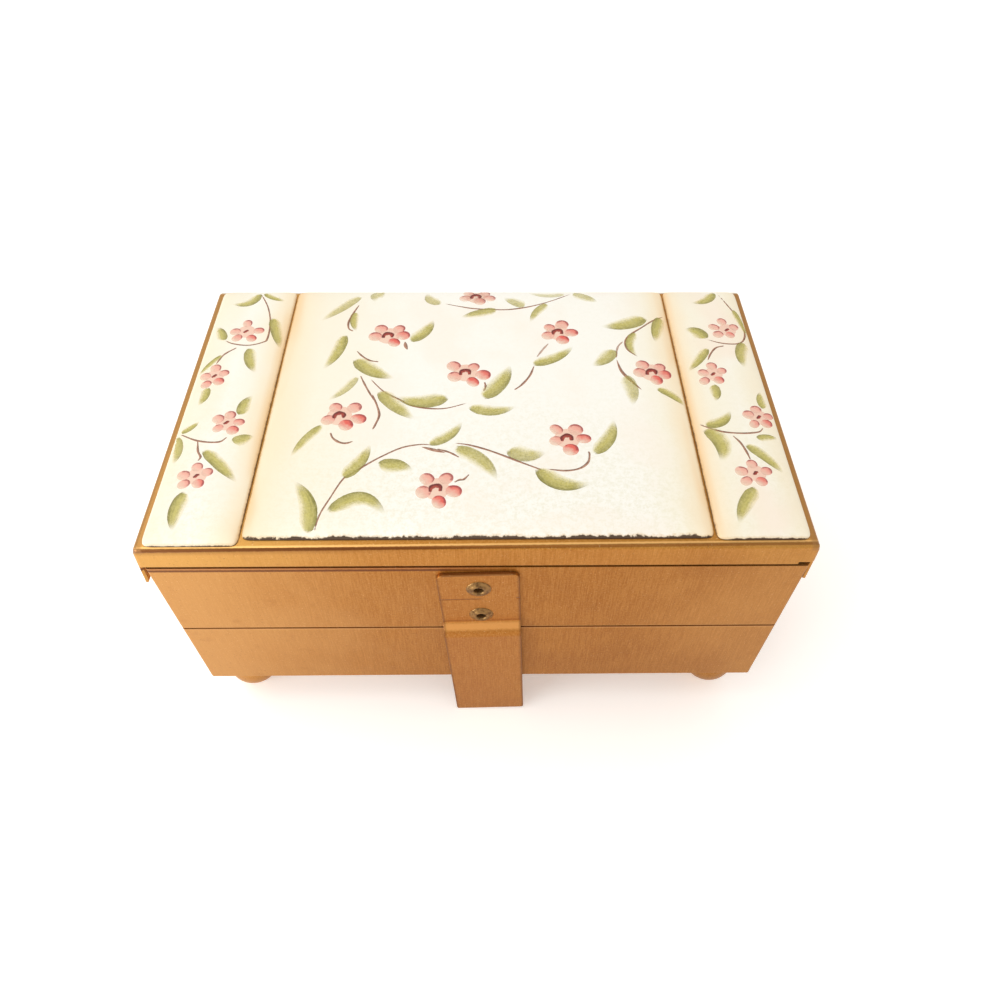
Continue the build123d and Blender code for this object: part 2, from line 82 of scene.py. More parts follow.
def tint(red: int, green: int, blue: int) -> Colour:
    """Turn a colour written in 0 to 255 screen values into the linear values that shaders use.

    Args:
        red: Its red.
        green: Its green.
        blue: Its blue.

    Returns:
        The linear colour.
    """

    def linear(value: int) -> float:
        """Undo the screen curve of one channel."""
        share = value / 255
        return share / 12.92 if share <= 0.04045 else ((share + 0.055) / 1.055) ** 2.4

    return (linear(red), linear(green), linear(blue))


class Wire:
    """A value that runs through a material; arithmetic on it adds the maths nodes."""

    def __init__(self, book: "NodeBook", socket: bpy.types.NodeSocket) -> None:
        """Keep the socket that carries the value, and the material that it is in.

        Args:
            book: The material.
            socket: The socket.
        """
        self.book = book
        self.socket = socket

    def maths(self, operation: str, other: "Wire | float | None" = None, swap: bool = False) -> "Wire":
        """Add one maths node.

        Args:
            operation: The node's operation.
            other: The second operand, if it has one.
            swap: Whether the second operand comes first.

        Returns:
            The result.
        """
        pair = [self] if other is None else [self, other]
        if swap:
            pair.reverse()
        node = self.book.node("ShaderNodeMath", {"operation": operation}, dict(enumerate(pair)))
        return Wire(self.book, node.outputs[0])

    def __add__(self, other: "Wire | float") -> "Wire":
        """Sum."""
        return self.maths("ADD", other)

    def __radd__(self, other: float) -> "Wire":
        """Sum with a plain number first."""
        return self.maths("ADD", other)

    def __sub__(self, other: "Wire | float") -> "Wire":
        """Difference."""
        return self.maths("SUBTRACT", other)

    def __rsub__(self, other: float) -> "Wire":
        """Difference with a plain number first."""
        return self.maths("SUBTRACT", other, swap=True)

    def __mul__(self, other: "Wire | float") -> "Wire":
        """Product."""
        return self.maths("MULTIPLY", other)

    def __rmul__(self, other: float) -> "Wire":
        """Product with a plain number first."""
        return self.maths("MULTIPLY", other)

    def __truediv__(self, other: "Wire | float") -> "Wire":
        """Quotient."""
        return self.maths("DIVIDE", other)

    def __pow__(self, other: float) -> "Wire":
        """Power."""
        return self.maths("POWER", other)

    def least(self, other: "Wire | float") -> "Wire":
        """The smaller of two values."""
        return self.maths("MINIMUM", other)

    def most(self, other: "Wire | float") -> "Wire":
        """The larger of two values."""
        return self.maths("MAXIMUM", other)

    def size(self) -> "Wire":
        """The value without its sign."""
        return self.maths("ABSOLUTE")

    def rise(self, low: float, high: float) -> "Wire":
        """Ease from 0 at low to 1 at high, or from 1 down to 0 where low is the larger.

        Args:
            low: Where the result is 0.
            high: Where the result is 1.

        Returns:
            The eased value.
        """
        down = low > high
        node = self.book.node(
            "ShaderNodeMapRange",
            {"interpolation_type": "SMOOTHSTEP"},
            {"Value": self, "From Min": min(low, high), "From Max": max(low, high)},
        )
        eased = Wire(self.book, node.outputs["Result"])
        return 1.0 - eased if down else eased


class NodeBook:
    """One material and the nodes in it."""

    def __init__(self, name: str) -> None:
        """Open an empty material.

        Args:
            name: Its name.
        """
        self.material = bpy.data.materials.new(name)
        self.material.use_nodes = True
        self.tree = self.material.node_tree
        self.tree.nodes.clear()

    def node(self, kind: str, settings: dict | None = None, sockets: dict | None = None) -> bpy.types.Node:
        """Add one node.

        Args:
            kind: The node's type.
            settings: Its settings, set first.
            sockets: Values or wires for its inputs, by name or by place.

        Returns:
            The node.
        """
        node = self.tree.nodes.new(kind)
        for name, value in (settings or {}).items():
            setattr(node, name, value)
        for name, value in (sockets or {}).items():
            socket = node.inputs[name]
            if isinstance(value, Wire):
                self.tree.links.new(value.socket, socket)
            elif socket.type == "RGBA":
                socket.default_value = (*value, 1.0)
            else:
                socket.default_value = value
        return node

    def wire(self, node: bpy.types.Node, output: str | int = 0) -> Wire:
        """One output of a node as a wire."""
        return Wire(self, node.outputs[output])

    def place(self) -> Wire:
        """The point on the piece, in millimetres of the shared frame.

        Returns:
            The point.
        """
        spot = self.wire(self.node("ShaderNodeTexCoord"), "Object")
        scaled = self.node("ShaderNodeVectorMath", {"operation": "SCALE"}, {0: spot, "Scale": 1 / MM})
        return self.wire(scaled)

    def split(self, vector: Wire) -> tuple[Wire, Wire, Wire]:
        """The three parts of a vector."""
        node = self.node("ShaderNodeSeparateXYZ", sockets={0: vector})
        return self.wire(node, 0), self.wire(node, 1), self.wire(node, 2)

    def stretch(self, vector: Wire, by: Triple) -> Wire:
        """A vector with its three parts multiplied, which draws a pattern out along one axis."""
        return self.wire(self.node("ShaderNodeVectorMath", {"operation": "MULTIPLY"}, {0: vector, 1: by}))

    def noise(self, vector: Wire, scale: float, detail: float = 2.0, roughness: float = 0.5) -> Wire:
        """Soft noise about 0.5; a scale of 1 has features about 1 mm across.

        Args:
            vector: The point.
            scale: How fine it is.
            detail: How many finer layers it has.
            roughness: How strong the finer layers are.

        Returns:
            The noise.
        """
        node = self.node(
            "ShaderNodeTexNoise",
            sockets={"Vector": vector, "Scale": scale, "Detail": detail, "Roughness": roughness},
        )
        return self.wire(node, 0)

    def attribute(self, name: str) -> Wire:
        """A number stored on the mesh."""
        return self.wire(self.node("ShaderNodeAttribute", {"attribute_name": name}), "Fac")

    def stroke(self) -> tuple[Wire, Wire, Wire, Wire, Wire]:
        """A stroke's places along and across, each from 0 to 1, its tone, its cover and the point on it.

        Returns:
            The five values, in that order.
        """
        along, across, _ = self.split(self.wire(self.node("ShaderNodeTexCoord"), "UV"))
        return along, across, self.attribute("tone"), self.attribute("cover"), self.place()

    def mix(self, share: "Wire | float", first: "Wire | Colour", second: "Wire | Colour") -> Wire:
        """Blend two colours by a share."""
        node = self.node("ShaderNodeMix", {"data_type": "RGBA"}, {0: share, 6: first, 7: second})
        return self.wire(node, 2)

    def coats(self, ground: "Wire | Colour", *coats: tuple["Wire | float", "Wire | Colour"]) -> Wire:
        """Lay colours over a ground one after another, each given as its share and its colour.

        Args:
            ground: What they are laid on.
            coats: Each colour's share and the colour.

        Returns:
            The colour on top.
        """
        for share, colour in coats:
            ground = self.mix(share, ground, colour)
        return ground

    def bump(self, height: Wire, depth: float) -> Wire:
        """A surface normal tilted by a height; depth is in millimetres."""
        inputs = {"Strength": 1.0, "Distance": depth * MM, "Height": height}
        return self.wire(self.node("ShaderNodeBump", sockets=inputs))

    def finish(self, **sockets: "Wire | float | Colour") -> bpy.types.Material:
        """Close the material with its surface shader; underscores stand for spaces in socket names.

        Args:
            sockets: The shader's inputs.

        Returns:
            The material.
        """
        named = {name.replace("_", " "): value for name, value in sockets.items()}
        shader = self.node("ShaderNodeBsdfPrincipled", sockets=named)
        self.node("ShaderNodeOutputMaterial", sockets={"Surface": self.wire(shader)})
        return self.material


class Grain(Enum):
    """The direction in which a metal was brushed, as the stretch of its grain pattern."""

    UPRIGHT = (2.4, 2.4, 0.09)
    EVEN = (2.0, 2.0, 2.0)


@dataclass(frozen=True)
class Band:
    """A level line of painted light round a piece, in millimetres: a painted highlight where its colour is
    bright, painted shade where it is dark.

    Attributes:
        low: Where it starts.
        high: Where it ends.
        colour: Its colour.
        strength: How strong it is, from 0 to 1.
        until: How far right it reaches before it fades, where it runs along the front alone.
    """

    low: float
    high: float
    colour: Colour
    strength: float
    until: float | None = None


@dataclass(frozen=True)
class GoldLacquer:
    """Satin gold-lacquered sheet: upright brush marks, a fine pebble, small specks and a few scratches.

    Attributes:
        name: The material's name.
        light: Its colour on clean stretches.
        deep: Its colour in the patina.
        pale: Its paler colour towards the ends: painted light, strongest at the left end, where the light
            falls.
        grain: The way it was brushed.
        roughness: How blunt its reflections are.
        metal: How much it mirrors rather than scatters.
        bands: Lines of painted highlight and painted shade along its edges.
    """

    name: str
    light: Colour
    deep: Colour
    pale: Colour
    grain: Grain = Grain.UPRIGHT
    roughness: float = 0.40
    metal: float = 0.7
    bands: tuple[Band, ...] = ()

    def coat(self, book: NodeBook) -> tuple[Wire, Wire, Wire]:
        """Lay the lacquer.

        Args:
            book: The material that it goes on.

        Returns:
            Its colour, its roughness and the height of its marks.
        """
        spot = book.place()
        x, y, z = book.split(spot)
        marks = book.noise(book.stretch(spot, self.grain.value), 1.8, 3.0, 0.7)
        pebble = book.noise(spot, 1.3, 4.0, 0.75)
        broad = book.noise(spot, 0.045, 3.0, 0.5)
        tarnish = book.noise(spot, 0.16, 4.0, 0.6)
        dark_specks = book.noise(spot, 1.9, 1.0, 0.4).rise(0.70, 0.77)
        pale_specks = book.noise(book.stretch(spot, (1.0, 1.0, 1.4)), 2.4, 0.0).rise(0.74, 0.82)
        scratch_line = book.noise(book.stretch(spot, (0.35, 0.35, 3.2)), 0.75, 1.0, 0.3)
        scratches = (scratch_line - 0.5).size().rise(0.006, 0.0) * tarnish.rise(0.57, 0.66)
        clean = (pebble * 0.40 + marks * 0.40 + broad * 0.2).rise(0.34, 0.66)
        # Painted light: paler towards the left end, where the light falls, and a little paler towards the
        # right end.
        off = (x + (broad - 0.5) * 60.0) / 92.0
        thin = off.rise(-0.04, -0.95).most(off.rise(0.35, 1.1) * 0.5)
        colour = book.coats(
            self.deep,
            (clean, self.light),
            (thin * 0.85, self.pale),
            ((marks * 0.6 + pebble * 0.4).rise(0.40, 0.66) * 0.16, tint(236, 186, 122)),
            (tarnish.rise(0.58, 0.75) * 0.18, self.deep),
            (dark_specks * 0.4, tint(124, 72, 34)),
            (pale_specks * 0.4, tint(244, 208, 152)),
            (scratches * 0.35, tint(128, 80, 40)),
        )
        # Lines of painted highlight and painted shade at set heights.
        for band in self.bands:
            middle, half = (band.low + band.high) / 2, (band.high - band.low) / 2
            line = (z - middle + (pebble - 0.5) * half).size().rise(half * 1.25, half * 0.55)
            if band.until is not None:
                line = line * x.rise(band.until + 12.0, band.until - 12.0) * y.rise(0.0, -40.0)
            colour = book.mix(line * band.strength, colour, band.colour)
        rough = self.roughness + (marks - 0.5) * 0.16 + (pebble - 0.5) * 0.12
        height = marks * 0.7 + pebble * 0.6 - dark_specks * 0.5 - scratches * 0.5
        return colour, rough, height

    def make(self) -> bpy.types.Material:
        """Build the material.

        Returns:
            The material.
        """
        book = NodeBook(self.name)
        colour, rough, height = self.coat(book)
        return book.finish(
            Base_Color=colour,
            Metallic=self.metal,
            Roughness=rough,
            Normal=book.bump(height, 0.018),
        )


@dataclass(frozen=True)
class LidLacquer(GoldLacquer):
    """Gold lacquer on the lid: rubbed grey along its side bends, with a painted highlight and painted shade
    along its front bend and a painted pale reflection along its rear bend.

    Attributes:
        side: How far out the side bends start, in millimetres.
        rear: Where the rear bend starts, in millimetres.
        front: Where the front flange lies, in millimetres.
        top: The height of the lid's top, in millimetres.
    """

    side: float = 87.3
    rear: float = 52.9
    front: float = -54.0
    top: float = 91.3

    def coat(self, book: NodeBook) -> tuple[Wire, Wire, Wire]:
        """Lay the lacquer, rub it along the side bends, and paint light and shade along the front and rear
        bends.

        Args:
            book: The material that it goes on.

        Returns:
            Its colour, its roughness and the height of its marks.
        """
        colour, rough, height = super().coat(book)
        spot = book.place()
        x, y, z = book.split(spot)
        ragged = book.noise(spot, 0.9, 4.0, 0.7) - 0.5
        upper = z.rise(self.top - 2.2, self.top - 1.2)
        near = y.rise(self.front + 3.6, self.front + 3.0) * z.rise(self.top - 3.6, self.top - 2.8)
        # Painted light along the front bend: a painted highlight line, a painted shade line just below it,
        # and painted shade fading further down at the left.
        round_bend = (y - self.front) + (z - self.top) * 0.65 + ragged * 0.35
        bend_highlight = (round_bend - x * 0.0075 - 1.40).size().rise(0.55, 0.15) * near
        bend_shade_offset = round_bend - x * 0.0085 - 0.62
        bend_shade = bend_shade_offset.size().rise(0.75, 0.35) * near
        below = bend_shade_offset.rise(-1.9, -0.3) * bend_shade_offset.rise(0.4, 0.0) * x.rise(10.0, -50.0) * near
        rubbed = (x.size() + ragged * 0.8).rise(self.side - 0.5, self.side + 0.3) * upper
        # Painted reflection: pale along the rear bend, which catches the bright surroundings.
        rear_glare = (y + ragged * 0.5).rise(self.rear - 0.4, self.rear + 0.4) * upper
        colour = book.coats(
            colour,
            (below * 0.45, tint(120, 66, 20)),
            (bend_highlight * 0.80, tint(250, 196, 118)),
            (bend_shade * (0.55 + x.rise(30.0, -30.0) * 0.30), tint(104, 50, 8)),
            (rubbed * 0.55, tint(166, 118, 70)),
            (rear_glare * 0.85, tint(255, 250, 238)),
        )
        return colour, rough, height


@dataclass(frozen=True)
class StrapLacquer(GoldLacquer):
    """Gold lacquer on the strap, creased between its rivets: brown along its edges, partly tarnish and partly
    painted shade, with painted shade in the crease and a painted highlight on its bend.

    Attributes:
        top: The middle of the strap's top edge, in millimetres.
        lean: How far the strap leans from upright, in degrees.
        half_width: Half the strap's width, in millimetres.
        crease: How far below the top the crease runs, in millimetres.
        ledge: How far below the top the painted highlight on the bend lies, in millimetres.
    """

    top: Vector = field(default_factory=Vector)
    lean: float = STRAP_LEAN
    half_width: float = STRAP_WIDTH / 2
    crease: float = 12.3
    ledge: float = 25.9

    def coat(self, book: NodeBook) -> tuple[Wire, Wire, Wire]:
        """Lay the lacquer, crease it, darken its edges with tarnish and painted shade, and paint shade in the
        crease and a highlight on its bend.

        Args:
            book: The material that it goes on.

        Returns:
            Its colour, its roughness and the height of its marks.
        """
        colour, rough, height = super().coat(book)
        spot = book.place()
        x, _, z = book.split(spot)
        across_x, across_z = math.cos(math.radians(self.lean)), math.sin(math.radians(self.lean))
        across = (x - self.top.x) * across_x + (z - self.top.z) * across_z
        down = (x - self.top.x) * across_z - (z - self.top.z) * across_x
        ragged = book.noise(spot, 0.9, 4.0, 0.7) - 0.5
        # Darker brown along the side edges, partly tarnish and partly painted shade of their thickness, and
        # painted shade along the top edge.
        rim = (across.size() + ragged * 0.9).rise(self.half_width - 1.0, self.half_width - 0.1)
        rim = rim.most((down + ragged * 0.3).rise(0.75, 0.25))
        # Painted shade in the crease.
        line = (down - self.crease + ragged * 0.5).size().rise(0.42, 0.05)
        line = line * across.rise(1.4, -0.4).most(across.rise(10.0, 10.6))
        # Painted highlight on the bend at the top of the slope, and a painted shade line just above that
        # bend.
        off = down - self.ledge + ragged * 0.7
        colour = book.coats(
            colour,
            (off.size().rise(1.4, 0.4) * 0.85, tint(238, 166, 90)),
            ((off + 1.9).size().rise(0.7, 0.2) * 0.30, tint(126, 74, 34)),
            (rim * 0.65, tint(112, 66, 30)),
            (line * 0.75, tint(134, 78, 38)),
        )
        return colour, rough, height - line * 6.0


@dataclass(frozen=True)
class DullRivet:
    """Grey-bronze plated rivet metal, brown in its hollows.

    Attributes:
        name: The material's name.
        plate: The colour of the plating.
        shade: The colour of the tarnish.
        metal: How much it mirrors rather than scatters.
        roughness: How blunt its reflections are.
    """

    name: str
    plate: Colour
    shade: Colour
    metal: float = 0.8
    roughness: float = 0.36

    def make(self) -> bpy.types.Material:
        """Build the material.

        Returns:
            The material.
        """
        book = NodeBook(self.name)
        spot = book.place()
        tarnish = book.noise(spot, 0.8, 4.0, 0.6)
        scratches = book.noise(book.stretch(spot, (1.0, 4.0, 4.0)), 2.5, 2.0)
        colour = book.mix(tarnish.rise(0.30, 0.58), self.shade, self.plate)
        rough = self.roughness + (scratches - 0.5) * 0.3 + (tarnish - 0.5) * 0.2
        return book.finish(
            Base_Color=colour,
            Metallic=self.metal,
            Roughness=rough,
            Normal=book.bump(tarnish * 0.6 + scratches * 0.4, 0.03),
        )


@dataclass(frozen=True)
class PaintedCream:
    """Cream lid covering: faintly mottled, tan beside its grooves, brown in them, chipped at its front, and
    with painted shade along the foot of its front edge.

    Attributes:
        name: The material's name.
        low: The panel's lowest corner, in millimetres.
        high: The panel's highest corner, in millimetres.
        glow_left: How far the tan shading reaches in from the left edge, in millimetres.
        glow_right: How far it reaches in from the right edge, in millimetres.
        seams: How dark its left and right edges are, from 0 to 1.
        chips: How strongly the front edge is chipped, from 0 to 1.
        warmth: How warm the cream is, from 0 to 1.
    """

    name: str
    low: Vector
    high: Vector
    glow_left: float
    glow_right: float
    seams: Point = (1.0, 1.0)
    chips: float = 0.2
    warmth: float = 0.4

    def make(self) -> bpy.types.Material:
        """Build the material.

        Returns:
            The material.
        """
        book = NodeBook(self.name)
        spot = book.place()
        x, y, z = book.split(spot)
        drift = book.noise(spot, 0.045, 2.0, 0.5)
        mottle = book.noise(spot, 0.55, 4.0, 0.7)
        fleck = book.noise(spot, 1.6, 3.0, 0.65)
        ragged = book.noise(spot, 0.55, 5.0, 0.75)
        reach = book.noise(book.stretch(spot, (1.0, 0.25, 1.0)), 0.09, 2.0, 0.5)
        left = x - self.low.x
        right = self.high.x - x
        left_seam, right_seam = self.seams
        front = y - self.low.y
        near = (front + (drift - 0.5) * 60.0).rise(64.0, 4.0)
        grain = (mottle * 0.6 + fleck * 0.4).rise(0.42, 0.62)
        wander = (drift - 0.5) * 8.0
        shade = ((left + wander) / self.glow_left).rise(1.0, 0.0) * (0.35 + 0.65 * left_seam)
        shade = shade.most(((right + wander) / self.glow_right).rise(1.0, 0.0) * (0.35 + 0.65 * right_seam))
        broad = ((left + wander * 3.0) / (self.glow_left * 3.6)).rise(1.0, 0.1)
        broad = broad.most(((right + wander * 2.0) / (self.glow_right * 2.2)).rise(1.0, 0.1))
        strong = (left / self.glow_left).rise(0.42, 0.0) * reach.rise(0.36, 0.60) * left_seam
        strong = strong.most((right / self.glow_right).rise(0.42, 0.0) * reach.rise(0.62, 0.38) * right_seam)
        colour = book.coats(
            tint(253, 249, 238),
            (grain * (0.12 + near * 0.5), tint(236, 230, 206)),
            (drift.rise(0.46, 0.68) * self.warmth, tint(252, 236, 217)),
            (broad * 0.6, tint(247, 235, 203)),
            (shade * 0.9, tint(250, 229, 193)),
            (strong * 0.75, tint(243, 199, 140)),
        )
        fade = 0.45 + 0.55 * front.rise(96.0, 30.0)
        for side, strength in ((left, left_seam), (right, right_seam)):
            halo = (side + (ragged - 0.5) * 0.8).rise(1.0, 0.1)
            seam = (side + (ragged - 0.5) * 0.9).rise(0.30, 0.02)
            colour = book.coats(
                colour,
                (halo * 0.6 * strength, tint(224, 178, 112)),
                (seam * fade * 0.85 * strength, tint(124, 86, 46)),
            )
        patches = book.noise(book.stretch(spot, (1.0, 0.2, 0.2)), 0.12, 3.0, 0.6)
        depth = 0.02 + (ragged - 0.36) * (4.4 * self.chips) + patches.rise(0.42, 0.62) * 0.6 * self.chips
        chipped = (front - depth).rise(0.12, -0.12)
        # Painted shade along the foot of the front edge, where the panel meets the lid; it is darkened
        # together with the real chips.
        foot = (z - self.low.z + (ragged - 0.5) * 0.5).rise(0.34, 0.10) * front.rise(2.6, 1.4)
        dark = chipped.most(foot)
        halo = (front - depth).rise(0.8, 0.0) * 0.5
        colour = book.coats(colour, (halo, tint(226, 190, 134)), (dark * 0.97, tint(66, 40, 14)))
        height = fleck * 0.4 + mottle * 0.5 - chipped * 0.8
        return book.finish(
            Base_Color=colour,
            Roughness=0.36 + (mottle - 0.5) * 0.25 + dark * 0.3,
            Normal=book.bump(height, 0.05),
            Specular_IOR_Level=0.5,
        )


@dataclass(frozen=True)
class LeafPaint:
    """Green leaf paint: one side of the brush loaded with olive, the other thin and yellow.

    Attributes:
        name: The material's name.
        thin: The colour of the thin side.
        full: The colour of the body of the stroke.
        loaded: The colour of the loaded side.
    """

    name: str
    thin: Colour = tint(240, 228, 164)
    full: Colour = tint(208, 196, 104)
    loaded: Colour = tint(118, 112, 42)

    def make(self) -> bpy.types.Material:
        """Build the material.

        Returns:
            The material.
        """
        book = NodeBook(self.name)
        along, across, tone, cover, spot = book.stroke()
        lanes = book.node("ShaderNodeCombineXYZ", sockets={0: along * 1.2, 1: across * 7.0, 2: tone * 40.0})
        streaks = book.noise(book.wire(lanes), 1.5, 3.0, 0.6)
        wash = book.noise(spot, 0.45, 4.0, 0.65)
        grit = book.noise(spot, 2.4, 3.0, 0.7)
        side = across + (streaks - 0.5) * 0.5 + (wash - 0.5) * 0.4
        colour = book.coats(
            self.thin,
            (side.rise(0.12, 0.50), self.full),
            (side.rise(0.52, 0.98) * (tone * 1.2).least(1.0), self.loaded),
            (along.rise(0.26, 0.0) * across.rise(0.3, 0.8) * tone * 0.6, self.loaded),
            (grit.rise(0.50, 0.62) * 0.45, tint(150, 138, 60)),
            (grit.rise(0.48, 0.36) * 0.40, tint(236, 222, 140)),
        )
        edge = (1.0 - across + (grit - 0.5) * 0.10).rise(0.02, 0.16)
        far = (across + (wash - 0.5) * 0.12).rise(-0.06, 0.50) ** 1.4
        ends = (along + (grit - 0.5) * 0.05).rise(0.0, 0.07) * (along + (wash - 0.5) * 0.1).rise(1.0, 0.66)
        broken = 0.86 + (wash - 0.5) * 0.5 + (grit - 0.5) * 0.5
        alpha = edge * far * ends * cover * broken.least(1.0)
        return book.finish(
            Base_Color=colour,
            Alpha=alpha.most(0.0).least(1.0),
            Roughness=0.42 + (streaks - 0.5) * 0.2,
            Normal=book.bump(streaks * 0.5 + wash * 0.5, 0.04),
        )


@dataclass(frozen=True)
class PetalPaint:
    """Coral petal paint: a dusky crescent on its loaded rim, a pale wash on the far side.

    Attributes:
        name: The material's name.
        wash: The colour of the thin wash.
        coral: The colour of the body.
        rim: The colour of the loaded rim.
    """

    name: str
    wash: Colour = tint(252, 216, 192)
    coral: Colour = tint(236, 104, 88)
    rim: Colour = tint(158, 60, 62)

    def make(self) -> bpy.types.Material:
        """Build the material.

        Returns:
            The material.
        """
        book = NodeBook(self.name)
        along, across, tone, cover, spot = book.stroke()
        blot = book.noise(spot, 0.8, 3.0, 0.6) - 0.5
        grit = book.noise(spot, 2.4, 3.0, 0.7) - 0.5
        towards = along * 2.0 - 1.0
        beside = across * 2.0 - 1.0
        reach = (towards * towards + beside * beside) ** 0.5 + blot * 0.40 + grit * 0.20
        body = (towards + blot * 1.1).rise(-0.85, 0.60) * (tone * 1.15 + 0.08)
        outline = reach.rise(0.50, 0.74) * (towards + blot * 0.8).rise(-0.05, 0.50)
        colour = book.coats(
            self.wash,
            (body.least(1.0), self.coral),
            (outline * tone.rise(0.0, 0.12) * 0.80, self.rim),
        )
        soft = reach.rise(1.04, 0.88)
        thin = (towards + blot * 0.8).rise(-1.15, 0.10) * 0.60 + 0.34
        alpha = soft * thin.most(tone.rise(0.04, 0.0)) * cover
        return book.finish(
            Base_Color=colour,
            Alpha=alpha.most(0.0).least(1.0),
            Roughness=0.42,
            Normal=book.bump(blot + 0.5, 0.02),
        )


@dataclass(frozen=True)
class StemPaint:
    """Brown stem paint, or the red-brown of a flower's heart, laid thick and thin.

    Attributes:
        name: The material's name.
        pale: The colour of the thin side.
        dark: The colour of the loaded side.
        body: How much of the ground it hides where it is evenly laid.
    """

    name: str
    pale: Colour = tint(196, 134, 98)
    dark: Colour = tint(104, 58, 40)
    body: float = 0.56

    def make(self) -> bpy.types.Material:
        """Build the material.

        Returns:
            The material.
        """
        book = NodeBook(self.name)
        along, across, tone, cover, spot = book.stroke()
        blot = book.noise(spot, 0.8, 4.0, 0.65)
        grit = book.noise(spot, 2.6, 3.0, 0.7)
        load = across + (blot - 0.5) * 1.1 + (grit - 0.5) * 0.9
        colour = book.mix(load.rise(0.10, 0.70) * (0.40 + tone * 0.60), self.pale, self.dark)
        edge = (across * 2.0 - 1.0).size() + (blot - 0.5) * 0.5 + (grit - 0.5) * 0.5
        ends = along.rise(0.0, 0.05) * along.rise(1.0, 0.93)
        alpha = edge.rise(1.05, 0.50) * ends * cover * (self.body + blot * 0.5 + (grit - 0.5) * 1.1)
        return book.finish(
            Base_Color=colour,
            Alpha=alpha.most(0.0).least(1.0),
            Roughness=0.45,
            Normal=book.bump(blot, 0.04),
        )


@dataclass(frozen=True)
class Velvet:
    """Short-pile velvet, brushed light and dark in patches.

    Attributes:
        name: The material's name.
        pile: Its colour seen into the pile.
        bloom: Its colour where the pile lies over.
    """

    name: str
    pile: Colour
    bloom: Colour

    def make(self) -> bpy.types.Material:
        """Build the material.

        Returns:
            The material.
        """
        book = NodeBook(self.name)
        spot = book.place()
        nap = book.noise(spot, 3.2, 2.0, 0.7)
        strokes = book.noise(book.stretch(spot, (1.0, 0.45, 0.6)), 0.09, 3.0, 0.6)
        colour = book.mix(strokes.rise(0.35, 0.65) * 0.8, self.pile, self.bloom)
        colour = book.mix(nap.rise(0.45, 0.7) * 0.35, colour, self.bloom)
        return book.finish(
            Base_Color=colour,
            Roughness=0.9 + (nap - 0.5) * 0.15,
            Sheen_Weight=0.5,
            Sheen_Roughness=0.4,
            Sheen_Tint=(0.95, 0.70, 0.64),
            Specular_IOR_Level=0.15,
            Normal=book.bump(nap + strokes * 0.8, 0.12),
        )


class Body(Enum):
    """The moving bodies that pieces ride on."""

    LID = "lid"
    UPPER = "upper_tier"
    LOWER = "lower_tier"


class Side(Enum):
    """A side of a stroke, seen from its start."""

    LEFT = 1
    RIGHT = -1


